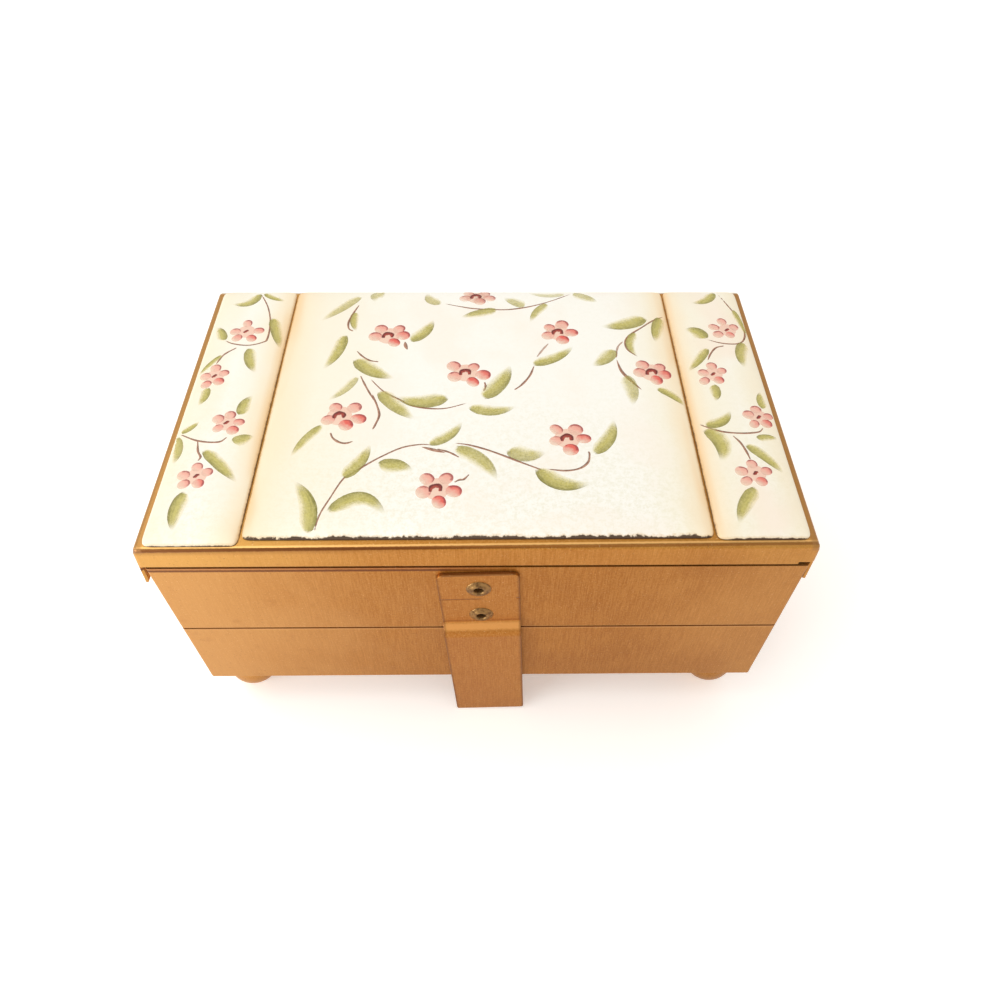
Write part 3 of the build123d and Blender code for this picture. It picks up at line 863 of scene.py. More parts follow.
class Bench:
    """Modelling moves on one piece, made as by hand on the bench."""

    def __init__(self, piece: bpy.types.Object, name: str) -> None:
        """Take a piece onto the bench and name it.

        Args:
            piece: The piece.
            name: Its name.
        """
        self.piece = piece
        piece.name = name
        piece.data.name = name

    @staticmethod
    def clear() -> None:
        """Leave nothing selected."""
        bpy.ops.object.select_all(action="DESELECT")

    @staticmethod
    def pick_all() -> None:
        """Select the whole mesh of the piece in edit mode."""
        bpy.ops.mesh.select_all(action="SELECT")

    @classmethod
    def face_out(cls) -> None:
        """Turn every face of the piece in edit mode outwards."""
        cls.pick_all()
        bpy.ops.mesh.normals_make_consistent(inside=False)

    @staticmethod
    def settle_place() -> None:
        """Move the selected pieces' place, turn and size into their meshes."""
        bpy.ops.object.transform_apply(location=True, rotation=True, scale=True)

    @classmethod
    def block(cls, name: str, low: Vector, high: Vector) -> "Bench":
        """Add a box between two corners.

        Args:
            name: The piece's name.
            low: Its lowest corner.
            high: Its highest corner.

        Returns:
            The bench with the box on it.
        """
        cls.clear()
        bpy.ops.mesh.primitive_cube_add(size=1.0, location=(low + high) / 2)
        bench = cls(bpy.context.object, name)
        bench.piece.scale = high - low
        cls.settle_place()
        return bench

    @classmethod
    def sheet(cls, name: str, low: Vector, high: Vector, columns: int = 1, rows: int = 1) -> "Bench":
        """Add a level sheet between two corners, at the height of the high one.

        Args:
            name: The piece's name.
            low: Its lowest corner.
            high: Its highest corner.
            columns: How many cells it has along X.
            rows: How many cells it has along Y.

        Returns:
            The bench with the sheet on it.
        """
        cls.clear()
        middle = Vector(((low.x + high.x) / 2, (low.y + high.y) / 2, high.z))
        bpy.ops.mesh.primitive_grid_add(
            x_subdivisions=columns,
            y_subdivisions=rows,
            size=1.0,
            location=middle,
        )
        bench = cls(bpy.context.object, name)
        bench.piece.scale = (high.x - low.x, high.y - low.y, 1.0)
        cls.settle_place()
        return bench

    @classmethod
    def thread(cls, name: str, points: Sequence[Vector]) -> "Bench":
        """Draw a chain of edges, extruded from point to point.

        Args:
            name: The piece's name.
            points: Where it runs.

        Returns:
            The bench with the chain on it.
        """
        cls.clear()
        bpy.ops.mesh.primitive_plane_add(size=MM, location=points[0])
        bench = cls(bpy.context.object, name)
        cls.settle_place()
        with bench.editing():
            bpy.ops.mesh.select_all(action="SELECT")
            bpy.ops.mesh.merge(type="CENTER")
            for start, end in zip(points, points[1:]):
                bpy.ops.mesh.extrude_region_move(TRANSFORM_OT_translate={"value": end - start})
        return bench

    @classmethod
    def turning(cls, name: str, foot: Vector, axis: Vector, outline: Sequence[Point], steps: int) -> "Bench":
        """Turn an outline about an axis, as on a lathe.

        Args:
            name: The piece's name.
            foot: Where the axis starts.
            axis: The way the axis points, of length 1.
            outline: Points as (radius, height along the axis), in millimetres.
            steps: How many facets it has round the axis.

        Returns:
            The bench with the turned piece on it.
        """
        across = axis.orthogonal().normalized()
        bench = cls.thread(name, [foot + across * (r * MM) + axis * (h * MM) for r, h in outline])
        with bench.editing():
            cls.pick_all()
            bpy.ops.mesh.spin(steps=steps, angle=math.tau, center=foot, axis=axis)
            cls.pick_all()
            bpy.ops.mesh.remove_doubles(threshold=0.004 * MM)
            cls.face_out()
        return bench

    @classmethod
    def cushion(
        cls,
        name: str,
        low: Vector,
        high: Vector,
        side: float,
        rolls: Sequence[Point],
        cell: float,
        crease: float,
        facing: int = 1,
        corner: float = 0.0,
    ) -> "Bench":
        """Stuff a cushion between two corners: straight sides, rolled edges and a crowned face.

        Args:
            name: The piece's name.
            low: Its lowest corner.
            high: Its highest corner.
            side: How high its straight side is.
            rolls: The rounding of its face as (distance from the edge, rise), in millimetres.
            cell: The size of a mesh cell.
            crease: How tightly the edge of its back is held, from 0 to 1.
            facing: 1 where the soft face looks up, -1 where it looks down.
            corner: How far its four corners are drawn in.

        Returns:
            The bench with the cushion on it, not yet subdivided.
        """
        base = low.z if facing > 0 else high.z
        rim = base + facing * side
        columns = round((high.x - low.x) / cell)
        rows = round((high.y - low.y) / cell)
        bench = cls.sheet(name, low, Vector((high.x, high.y, rim)), columns, rows)
        with bench.editing():
            cls.pick_all()
            bpy.ops.mesh.extrude_region_move(TRANSFORM_OT_translate={"value": (0, 0, base - rim)})
            cls.face_out()
            for reach, rise in rolls:
                bench.pick_verts(
                    lambda co: min(co.x - low.x, high.x - co.x, co.y - low.y, high.y - co.y) > reach * MM
                    and abs(co.z - base) > side / 2
                )
                bpy.ops.transform.translate(value=(0, 0, facing * rise * MM))
            for x, way in ((low.x, corner), (high.x, -corner)):
                for y, back in ((low.y, corner), (high.y, -corner)):
                    bench.pick_verts(lambda co: abs(co.x - x) + abs(co.y - y) < 0.2 * MM)
                    bpy.ops.transform.translate(value=(way, back, 0))
        with bench.editing("EDGE"):
            bench.pick_edges(lambda a, b: max(abs(a.z - base), abs(b.z - base)) < NEAR * MM)
            bpy.ops.transform.edge_crease(value=crease)
        return bench

    @contextmanager
    def editing(self, mode: str = "VERT") -> Iterator[None]:
        """Open the piece in edit mode, with nothing selected.

        Args:
            mode: What is selected: points, edges or faces.

        Returns:
            Nothing, while the piece is open.
        """
        self.hold()
        bpy.ops.object.mode_set(mode="EDIT")
        bpy.ops.mesh.select_mode(type=mode)
        bpy.ops.mesh.select_all(action="DESELECT")
        yield
        bpy.ops.object.mode_set(mode="OBJECT")

    def hold(self) -> None:
        """Make this piece the only one selected, and the active one."""
        self.clear()
        self.piece.select_set(True)
        bpy.context.view_layer.objects.active = self.piece

    def twin(self, name: str) -> "Bench":
        """Copy the piece with its own mesh, where it stands.

        Args:
            name: The copy's name.

        Returns:
            The bench with the copy on it.
        """
        twin = self.piece.copy()
        twin.data = self.piece.data.copy()
        bpy.context.scene.collection.objects.link(twin)
        return Bench(twin, name)

    def copy(self, name: str, shift: Vector) -> "Bench":
        """Copy the piece with its own mesh, and move the copy.

        Args:
            name: The copy's name.
            shift: How far it is moved.

        Returns:
            The bench with the copy on it.
        """
        bench = self.twin(name)
        bench.hold()
        bench.piece.location = shift
        self.settle_place()
        return bench

    def _pick(self, kind: str, test: Callable[..., bool]) -> None:
        """Select only the parts of one kind that pass a test.

        Args:
            kind: The mesh's verts, edges or faces.
            test: The test.
        """
        bpy.ops.mesh.select_all(action="DESELECT")
        mesh = bmesh.from_edit_mesh(self.piece.data)
        for item in getattr(mesh, kind):
            if test(item):
                item.select_set(True)
        if kind == "verts":
            mesh.select_flush(True)
        bmesh.update_edit_mesh(self.piece.data)

    def pick_verts(self, test: Callable[[Vector], bool]) -> None:
        """Select only the points that pass a test on their place."""
        self._pick("verts", lambda vert: test(vert.co))

    def pick_edges(self, test: Callable[[Vector, Vector], bool]) -> None:
        """Select only the edges that pass a test on their two ends."""
        self._pick("edges", lambda edge: test(edge.verts[0].co, edge.verts[1].co))

    def pick_faces(self, test: Callable[[Vector, Vector], bool]) -> None:
        """Select only the faces that pass a test on their middle and normal."""
        self._pick("faces", lambda face: test(face.calc_center_median(), face.normal))

    def modify(self, kind: str, **settings: object) -> None:
        """Add one modifier and apply it.

        Args:
            kind: The modifier's type.
            settings: Its settings.
        """
        self.hold()
        modifier = self.piece.modifiers.new(kind.lower(), kind)
        for name, value in settings.items():
            setattr(modifier, name, value)
        bpy.ops.object.modifier_apply(modifier=modifier.name)

    def soften(self, width: float, segments: int, angle: float) -> None:
        """Round every edge sharper than an angle, by a width in metres."""
        limit = math.radians(angle)
        self.modify("BEVEL", width=width, segments=segments, limit_method="ANGLE", angle_limit=limit)

    def subdivide(self, levels: int) -> None:
        """Smooth the whole mesh by subdivision."""
        self.modify("SUBSURF", levels=levels, render_levels=levels)

    def smooth(self, angle: float) -> None:
        """Shade the piece smooth, with creases sharper than the angle kept."""
        self.hold()
        bpy.ops.object.shade_smooth_by_angle(angle=math.radians(angle))

    def level(self) -> None:
        """Let the piece's broad faces rule its smooth shading."""
        self.modify("WEIGHTED_NORMAL", keep_sharp=True, weight=90)

    def join(self, others: Sequence["Bench"]) -> None:
        """Make the other benches' pieces part of this one.

        Args:
            others: The other benches.
        """
        self.hold()
        for other in others:
            other.piece.select_set(True)
        bpy.ops.object.join()

    def dress(
        self,
        material: bpy.types.Material,
        body: Body,
        slot: str,
        nodes: Sequence[str] = (),
        fill: float | None = None,
    ) -> bpy.types.Object:
        """Finish the piece: its material, what it rides on and what it stands for.

        Args:
            material: Its finish.
            body: The body that it rides on.
            slot: The record's material slot; not used.
            nodes: The CAD nodes that it replaces.
            fill: How tightly it is stuffed, for a padded piece; not used.

        Returns:
            The piece.
        """
        self.piece.data.materials.clear()
        self.piece.data.materials.append(material)
        if nodes:
            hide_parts(*nodes)
        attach(self.piece, body.value)
        log.info("%s rides %s: %d faces", self.piece.name, body.value, len(self.piece.data.polygons))
        return self.piece


@dataclass
class LidShell:
    """The lid's folded sheet: rounded bends, short front and rear flanges and deep side wings.

    Attributes:
        finish: Its lacquer.
        spread: How far the flat top stays in from the widest point at each side.
        sheet: The thickness of the sheet.
        flange: How far the front and rear turn down.
        corner: The radius of its corners seen from above.
        bend: The radius of the bends along its top.
        flares: How far the sides stand out as (depth below the top, at the left, at the right).
        relief: The fold relief in the front flange, as (width, height, distance from the right side).
    """

    finish: bpy.types.Material
    spread: float = 1.2 * MM
    sheet: float = 0.8 * MM
    flange: float = 8.1 * MM
    corner: float = 1.2 * MM
    bend: float = 0.95 * MM
    flares: tuple[Triple, ...] = ((2.3, 0.9, 0.55), (8.1, 1.5, 0.85), (16.3, 2.2, 1.15))
    relief: Triple = (3.9 * MM, 0.95 * MM, 0.9 * MM)

    def build(self) -> None:
        """Fold the sheet and dress it."""
        low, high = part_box("lid_shell")
        half = high.x - self.spread
        top = high.z
        bench = Bench.sheet("lid_cover_shell", Vector((-half, low.y, top)), Vector((half, high.y, top)))
        with bench.editing():
            bench.pick_all()
            bpy.ops.mesh.bevel(offset=self.corner, segments=5, affect="VERTICES")
        level, before = 0.0, (0.0, 0.0)
        for depth, *outs in self.flares:
            wings = depth > self.flange / MM
            inset = 0.35 * self.corner if wings else -MM
            fall = (0, 0, (level - depth) * MM)
            with bench.editing("EDGE"):
                bench.pick_edges(
                    lambda a, b: max(a.z, b.z) < top - (level - NEAR) * MM
                    and (not wings or a.x * b.x > 0)
                    and min(a.y, b.y) > low.y + inset
                    and max(a.y, b.y) < high.y - inset
                )
                bpy.ops.mesh.extrude_edges_move(TRANSFORM_OT_translate={"value": fall})
            with bench.editing():
                for side, out, last in zip((-1, 1), outs, before):
                    bench.pick_verts(lambda co: co.x * side > half / 2 and co.z < top - (depth - NEAR) * MM)
                    bpy.ops.transform.translate(value=(side * (out - last) * MM, 0, 0))
            level, before = depth, outs
        with bench.editing("EDGE"):
            bench.pick_edges(lambda a, b: min(a.z, b.z) > top - NEAR * MM)
            bpy.ops.mesh.bevel(offset=self.bend, segments=6, affect="EDGES")
        self._relieve(bench, low, high)
        with bench.editing():
            bench.face_out()
        bench.modify("SOLIDIFY", thickness=self.sheet, offset=-1.0, use_even_offset=True)
        bench.soften(0.12 * MM, 2, 75.0)
        bench.smooth(35.0)
        bench.level()
        bench.dress(self.finish, Body.LID, "gold_sheet", ["lid_shell"])

    def _relieve(self, bench: Bench, low: Vector, high: Vector) -> None:
        """Cut the fold relief into the front flange's lower edge.

        Args:
            bench: The folded sheet.
            low: The shell's lowest corner.
            high: The shell's highest corner.
        """
        wide, tall, inset = self.relief
        start = high.x - inset - wide
        ceiling = high.z - self.flange + tall
        cuts = (((start, 0, 0), (1, 0, 0)), ((0, 0, ceiling), (0, 0, 1)))
        with bench.editing("EDGE"):
            for place, way in cuts:
                bench.pick_faces(lambda co, n: co.y < low.y + MM and co.z < high.z - 2 * MM)
                bpy.ops.mesh.bisect(plane_co=place, plane_no=way)
        with bench.editing("FACE"):
            bench.pick_faces(lambda co, n: co.y < low.y + MM and co.z < ceiling and co.x > start)
            bpy.ops.mesh.delete(type="FACE")


@dataclass
class PaddedPanel:
    """One padded panel of the lid: foam under a painted covering, its edges rolled under.

    Attributes:
        node: The CAD node that it stands for.
        glow_left: The reach of the tan shading from its left edge, in millimetres.
        glow_right: The reach of the tan shading from its right edge, in millimetres.
        seams: How dark its left and right edges are.
        chips: How strongly its front edge is chipped.
        warmth: How warm its cream is.
        corner: How far its four corners are drawn in.
        side: How high its straight side is.
        cell: The size of a mesh cell.
        rolls: The rounding of its top as (distance from the edge, rise), in millimetres.
    """

    node: str
    glow_left: float
    glow_right: float
    seams: Point
    chips: float
    warmth: float = 0.4
    corner: float = 0.35 * MM
    side: float = 0.75 * MM
    cell: float = 2.6 * MM
    rolls: tuple[Point, ...] = ((0.3, 0.36), (3.5, 0.16), (7.0, 0.10), (11.0, 0.06))

    def build(self) -> bpy.types.Object:
        """Model the panel and paint its ground.

        Returns:
            The panel.
        """
        low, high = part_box(self.node)
        name = f"{self.node}_cover"
        bench = Bench.cushion(name, low, high, self.side, self.rolls, self.cell, 0.7, corner=self.corner)
        bench.subdivide(2)
        bench.smooth(70.0)
        ground = PaintedCream(
            f"{self.node}_paint",
            low / MM,
            high / MM,
            self.glow_left,
            self.glow_right,
            self.seams,
            self.chips,
            self.warmth,
        )
        return bench.dress(ground.make(), Body.LID, "cream_panel", [self.node], fill=0.7)


@dataclass(frozen=True)
class Leaf:
    """One comma stroke of a leaf. Places are in millimetres from the lid's front left corner.

    Attributes:
        base: Where the brush was set down.
        tip: Where it left.
        bow: How far its middle bows to the left of the straight line.
        width: Its greatest width.
        loaded: The side with the darker paint.
        tone: How dark that side is, from 0 to 1.
        cover: How much of the ground it hides, from 0 to 1.
    """

    base: Point
    tip: Point
    bow: float
    width: float
    loaded: Side = Side.RIGHT
    tone: float = 0.6
    cover: float = 0.9


@dataclass(frozen=True)
class Stem:
    """One stroke of a stem along given points, in millimetres from the lid's front left corner.

    Attributes:
        route: The points that it runs through.
        width: Its greatest width.
        tone: How dark it is, from 0 to 1.
        cover: How much of the ground it hides, from 0 to 1.
    """

    route: tuple[Point, ...]
    width: float = 0.85
    tone: float = 0.6
    cover: float = 0.9


@dataclass(frozen=True)
class Flower:
    """One five-petalled flower, in millimetres from the lid's front left corner.

    Attributes:
        heart: Its middle.
        petals: The middle of each petal.
        petal: The half length of a petal.
        strength: How strong its coral is, from 0 to 1.
        cover: How much of the ground it hides, from 0 to 1.
    """

    heart: Point
    petals: tuple[Point, ...]
    petal: float = 2.6
    strength: float = 0.8
    cover: float = 1.0


class Brush:
    """Lays strokes on one panel: each is a thin skin of paint that follows the panel's crown."""

    def __init__(self, panel: bpy.types.Object) -> None:
        """Take up the brush over a panel, with a fresh dab of paint for each kind of stroke.

        Args:
            panel: The padded panel.
        """
        self.panel = panel
        self.dabs = {
            "leaf": self._dab("leaf_dab", 16, 6),
            "petal": self._dab("petal_dab", 10, 10),
            "stem": self._dab("stem_dab", 36, 4),
            "heart": self._dab("heart_dab", 24, 4),
        }
        self.laid: dict[str, list[Bench]] = {name: [] for name in self.dabs}

    @staticmethod
    def _dab(name: str, columns: int, rows: int) -> Bench:
        """A square of paint from which strokes are drawn out."""
        return Bench.sheet(name, Vector((0, 0, 0)), Vector((1, 1, 0)), columns, rows)

    def _lay(self, kind: str, route: Route, thickness: float, tone: float, cover: float) -> None:
        """Draw one dab out into a stroke.

        Args:
            kind: The dab that it starts from.
            route: Gives lid x, lid y, paint height share, and the two places in the stroke's paint
                pattern, from the two places along and across the dab.
            thickness: The height of the paint over the ground, in millimetres.
            tone: How dark it is.
            cover: How much of the ground it hides.
        """
        stroke = self.dabs[kind].twin(f"{kind}_stroke")
        mesh = stroke.piece.data
        pattern: list[Point] = []
        for vert in mesh.vertices:
            x, y, height, u, v = route(vert.co.x, vert.co.y)
            spot = Vector(((x + LID_CORNER[0]) * MM, (y + LID_CORNER[1]) * MM, DROP_HEIGHT))
            found, place, _, _ = self.panel.ray_cast(spot, Vector((0, 0, -1)))
            ground = place.z if found else LOST_HEIGHT
            vert.co = Vector((spot.x, spot.y, ground + (height * thickness - SUNK) * MM))
            pattern.append((u, v))
        layer = mesh.uv_layers.active
        for loop in mesh.loops:
            layer.data[loop.index].uv = pattern[loop.vertex_index]
        for name, value in (("tone", tone), ("cover", cover)):
            store = mesh.attributes.new(name, "FLOAT", "POINT")
            store.data.foreach_set("value", [value] * len(mesh.vertices))
        if any(vert.co.z > LOST_HEIGHT / 2 for vert in mesh.vertices):
            with stroke.editing():
                stroke.pick_verts(lambda co: co.z > LOST_HEIGHT / 2)
                bpy.ops.mesh.delete(type="VERT")
        self.laid[kind].append(stroke)

    def leaf(self, leaf: Leaf, order: int) -> None:
        """Lay one leaf.

        Args:
            leaf: The stroke.
            order: How many were laid before it.
        """
        base, tip = Vector(leaf.base), Vector(leaf.tip)
        chord = tip - base
        normal = Vector((-chord.y, chord.x)).normalized()
        bend = (base + tip) / 2 + normal * (2 * leaf.bow)

        def route(u: float, v: float) -> Dab:
            """Follow the bowed middle line, wide early and drawn out to a point.

            Args:
                u: The place along the dab.
                v: The place across it.

            Returns:
                What _lay asks of a route.
            """
            middle = base * (1 - u) ** 2 + bend * (2 * u * (1 - u)) + tip * u**2
            run = (bend - base) * (1 - u) + (tip - bend) * u
            across = Vector((-run.y, run.x)).normalized()
            swell = min(1.0, (u / 0.20 + 0.10) ** 0.5)
            taper = 1.0 if u < 0.36 else math.cos((u - 0.36) / 0.64 * math.pi / 2) ** 0.7
            loaded = v if leaf.loaded is Side.LEFT else 1 - v
            shift = 0.12 if leaf.loaded is Side.LEFT else -0.12
            place = middle + across * ((v - 0.5 - shift) * leaf.width * 1.42 * swell * taper)
            return place.x, place.y, 1 - (2 * v - 1) ** 2, u, loaded

        self._lay("leaf", route, 0.035 + 0.002 * (order % 12), leaf.tone, leaf.cover)

    def stem(self, stem: Stem, order: int, kind: str = "stem") -> None:
        """Lay one stem along its points.

        Args:
            stem: The stroke.
            order: How many were laid before it.
            kind: The dab that it starts from.
        """
        points = [Vector(point) for point in stem.route]
        ends = [2 * points[0] - points[1], *points, 2 * points[-1] - points[-2]]
        spans = len(points) - 1

        def on_curve(share: float) -> tuple[Vector, Vector]:
            """The point and the direction on a smooth line through the points.

            Args:
                share: How far along the line.

            Returns:
                The point and the direction.
            """
            place = min(share, 0.99999) * spans
            first = int(place)
            t = place - first
            a, b, c, d = ends[first : first + 4]
            square = 2 * a - 5 * b + 4 * c - d
            cube = 3 * b - a - 3 * c + d
            spot = 0.5 * (2 * b + (c - a) * t + square * t**2 + cube * t**3)
            run = 0.5 * ((c - a) + square * (2 * t) + cube * (3 * t**2))
            return spot, run.normalized()

        def route(u: float, v: float) -> Dab:
            """Follow the points, pressed harder in the middle of the stroke.

            Args:
                u: The place along the dab.
                v: The place across it.

            Returns:
                What _lay asks of a route.
            """
            middle, run = on_curve(u)
            across = Vector((-run.y, run.x))
            press = math.sin(math.pi * u) ** 0.8
            if stem.width < 1.5:
                press = 0.55 + 0.55 * press + 0.12 * math.sin(17 * u + order)
            place = middle + across * ((v - 0.5) * stem.width * 1.1 * press)
            return place.x, place.y, 1 - (2 * v - 1) ** 2, u, v

        self._lay(kind, route, 0.025 + 0.002 * (order % 8), stem.tone, stem.cover)

    def petal(self, spot: Point, turn: float, size: Point, height: float, tone: float, cover: float) -> None:
        """Lay one petal.

        Args:
            spot: Its middle.
            turn: The way its long axis points, in radians.
            size: Its half length and half width.
            height: The height of its paint, in millimetres.
            tone: How strong its coral is.
            cover: How much of the ground it hides.
        """
        load = math.radians(52.0) + 0.25 * math.sin(spot[0] * 1.7 + spot[1]) - turn

        def route(u: float, v: float) -> Dab:
            """Round the square dab off into a petal.

            Args:
                u: The place along the dab.
                v: The place across it.

            Returns:
                What _lay asks of a route.
            """
            a, b = 2 * u - 1, 2 * v - 1
            x = a * math.sqrt(1 - b * b / 2)
            y = b * math.sqrt(1 - a * a / 2)
            wide = 1 + 0.10 * x
            along = x * size[0]
            across = y * size[1] * wide
            place_x = spot[0] + along * math.cos(turn) - across * math.sin(turn)
            place_y = spot[1] + along * math.sin(turn) + across * math.cos(turn)
            rim = x * math.cos(load) + y * math.sin(load)
            beside = y * math.cos(load) - x * math.sin(load)
            return place_x, place_y, 1 - x * x - y * y, 0.5 + rim / 2, 0.5 + beside / 2

        self._lay("petal", route, height, tone, cover)

    def flower(self, flower: Flower, order: int) -> None:
        """Lay one flower: a pale wash, five petals and its heart.

        Args:
            flower: The flower.
            order: How many were laid before it.
        """
        heart = Vector(flower.heart)
        wash = (flower.petal * 1.75, flower.petal * 1.8)
        self.petal(flower.heart, 0.0, wash, 0.045, 0.0, flower.cover * 0.9)
        for number, spot in enumerate(flower.petals):
            out = Vector(spot) - heart
            lean = out.normalized()
            strong = 0.36 + 0.64 * max(0.0, 0.55 * lean.x - 0.84 * lean.y)
            size = (flower.petal * 1.08, flower.petal * (0.90 + 0.10 * math.sin(3 * number + order)))
            turn = math.atan2(out.y, out.x)
            tone = min(1.0, strong * flower.strength + 0.1)
            self.petal(spot, turn, size, 0.055 + 0.004 * number, tone, flower.cover)
        if flower.petal > 2.2:
            arc = ((-1.45, -1.15), (-1.2, 0.45), (0.0, 1.15), (1.2, 0.65), (1.3, -1.0))
            width = 1.45
        else:
            arc = ((-0.75, -0.5), (-0.15, -0.1), (0.2, 0.35), (0.85, 0.55))
            width = 0.95
        route = tuple((heart.x + x, heart.y + y) for x, y in arc)
        self.stem(Stem(route, width, 0.9, flower.cover), order, "heart")
        self.laid["heart"][-1].piece.location.z = 0.06 * MM

    def finish(self, name: str, paints: dict[str, bpy.types.Material]) -> None:
        """Join the strokes of each kind and dress them.

        Args:
            name: The panel's short name.
            paints: The paint for each kind of stroke.
        """
        for kind, strokes in self.laid.items():
            first, *rest = strokes
            first.join(rest)
            bench = Bench(first.piece, f"{name}_{kind}_paint")
            bench.hold()
            Bench.settle_place()
            bench.smooth(60.0)
            bench.dress(paints[kind], Body.LID, "cream_panel")
        for dab in self.dabs.values():
            bpy.data.objects.remove(dab.piece)


@dataclass
class Strap:
    """The riveted bar on the front: it steps out over the lower tier and stands on the floor.

    Attributes:
        finish: Its lacquer.
        rivet_finish: Its rivets' plating.
        head: The middle of its top edge, on the tray's face.
        width: The strap's width.
        sheet: Its thickness.
        lean: How far it leans from upright, in degrees.
        flat: How far down its upper part lies on the tray.
        run: How long the slope below is.
        step: How far the slope brings it out.
        floor_gap: How far it ends above the floor.
        rivets: How far down the two rivets stand.
        bends: How far each of its two bends reaches, and its facets.
        corners: The radius of its top and bottom corners.
        bore: The radius of its rivet holes.
        eyelet: A rivet's outline as (radius, height over the strap's face), in millimetres.
    """

    finish: bpy.types.Material
    rivet_finish: bpy.types.Material
    head: Vector
    width: float = STRAP_WIDTH * MM
    sheet: float = 1.05 * MM
    lean: float = STRAP_LEAN
    flat: float = 25.2 * MM
    run: float = 3.0 * MM
    step: float = 2.7 * MM
    floor_gap: float = 0.4 * MM
    rivets: tuple[float, float] = (7.0 * MM, 20.7 * MM)
    bends: tuple[tuple[float, int], ...] = ((0.7 * MM, 4), (1.5 * MM, 6))
    corners: Point = (2.5 * MM, 0.8 * MM)
    bore: float = 2.12 * MM
    eyelet: tuple[Point, ...] = (
        (1.30, -2.65), (1.30, 0.38), (1.42, 0.68), (1.66, 0.86), (1.95, 0.90), (2.24, 0.80), (2.50, 0.58),
        (2.72, 0.42), (3.05, 0.36), (3.34, 0.24), (3.50, 0.06), (3.50, 0.0), (2.08, -0.02), (2.08, -2.05),
        (2.90, -2.05), (2.90, -2.50), (2.60, -2.65),
    )

    def build(self) -> None:
        """Forge the strap and set its rivets."""
        self._bar()
        self._eyelets()

    def _place(self, bench: Bench) -> None:
        """Stand a piece made about the origin at the strap's head, leaning.

        Args:
            bench: The bench with the piece on it.
        """
        bench.hold()
        bench.piece.location = self.head
        bench.piece.rotation_euler = (0, math.radians(-self.lean), 0)
        Bench.settle_place()

    def _bar(self) -> None:
        """Bend, thicken, pierce and dress the bar."""
        half = self.width / 2
        lean = math.radians(self.lean)
        length = (self.head.z - self.floor_gap) / math.cos(lean) - half * math.tan(lean)
        ends = (
            Vector((-half, 0, 0)),
            Vector((-half, 0, -self.flat)),
            Vector((-half, -self.step, -self.flat - self.run)),
            Vector((-half, -self.step, -length)),
        )
        bench = Bench.thread("strap_bar", ends)
        with bench.editing("EDGE"):
            bench.pick_all()
            bpy.ops.mesh.extrude_edges_move(TRANSFORM_OT_translate={"value": (self.width, 0, 0)})
            for place, (reach, segments) in zip(ends[1:3], self.bends):
                bench.pick_edges(lambda a, b: max(abs(a.z - place.z), abs(b.z - place.z)) < 0.1 * MM)
                bpy.ops.mesh.bevel(offset=reach, segments=segments, affect="EDGES")
        with bench.editing():
            for height, reach in zip((0.0, -length), self.corners):
                bench.pick_verts(lambda co: abs(co.z - height) < NEAR * MM)
                bpy.ops.mesh.bevel(offset=reach, segments=6, affect="VERTICES")
            bench.face_out()
            bench.pick_faces(lambda co, n: n.y > 0)
            bpy.ops.mesh.flip_normals()
        bench.modify("SOLIDIFY", thickness=self.sheet, offset=1.0, use_even_offset=True)
        for down in self.rivets:
            Bench.clear()
            bpy.ops.mesh.primitive_cylinder_add(
                radius=self.bore,
                depth=8 * MM,
                vertices=40,
                location=(0, 0, -down),
                rotation=(math.pi / 2, 0, 0),
            )
            drill = bpy.context.object
            bench.modify("BOOLEAN", object=drill, operation="DIFFERENCE", solver="EXACT")
            bpy.data.objects.remove(drill)
        bench.soften(0.24 * MM, 3, 45.0)
        bench.smooth(35.0)
        bench.level()
        self._place(bench)
        bench.dress(self.finish, Body.UPPER, "gold_strap", ["front_strap"])

    def _eyelets(self) -> None:
        """Turn one rolled rivet and set both."""
        face = Vector((0, -self.sheet, -self.rivets[0]))
        closed = (*self.eyelet, self.eyelet[0])
        first = Bench.turning("strap_eyelets", face, Vector((0, -1, 0)), closed, 56)
        second = first.copy("strap_eyelet_low", Vector((0, 0, self.rivets[0] - self.rivets[1])))
        first.join([second])
        first.smooth(50.0)
        self._place(first)
        first.dress(self.rivet_finish, Body.UPPER, "bronze_rivet", ["strap_rivets"])


@dataclass
class Pad:
    """A soft velvet pad with a crowned face and rolled edges.

    Attributes:
        node: The CAD node that it stands for.
        body: The body that it rides on.
        velvet: Its cloth.
        side: How high its straight side is.
        rolls: The rounding as (distance from the edge, rise), in millimetres.
        cell: The size of a mesh cell.
        facing: 1 where the soft face looks up, -1 where it looks down.
    """

    node: str
    body: Body
    velvet: bpy.types.Material
    side: float
    rolls: tuple[Point, ...]
    cell: float = 4.0 * MM
    facing: int = 1

    def build(self) -> None:
        """Model the pad and cover it."""
        low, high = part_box(self.node)
        name = f"{self.node}_pad"
        bench = Bench.cushion(name, low, high, self.side, self.rolls, self.cell, 0.6, self.facing)
        bench.subdivide(1)
        bench.smooth(70.0)
        bench.dress(self.velvet, self.body, "velvet_pad", [self.node], fill=0.8)


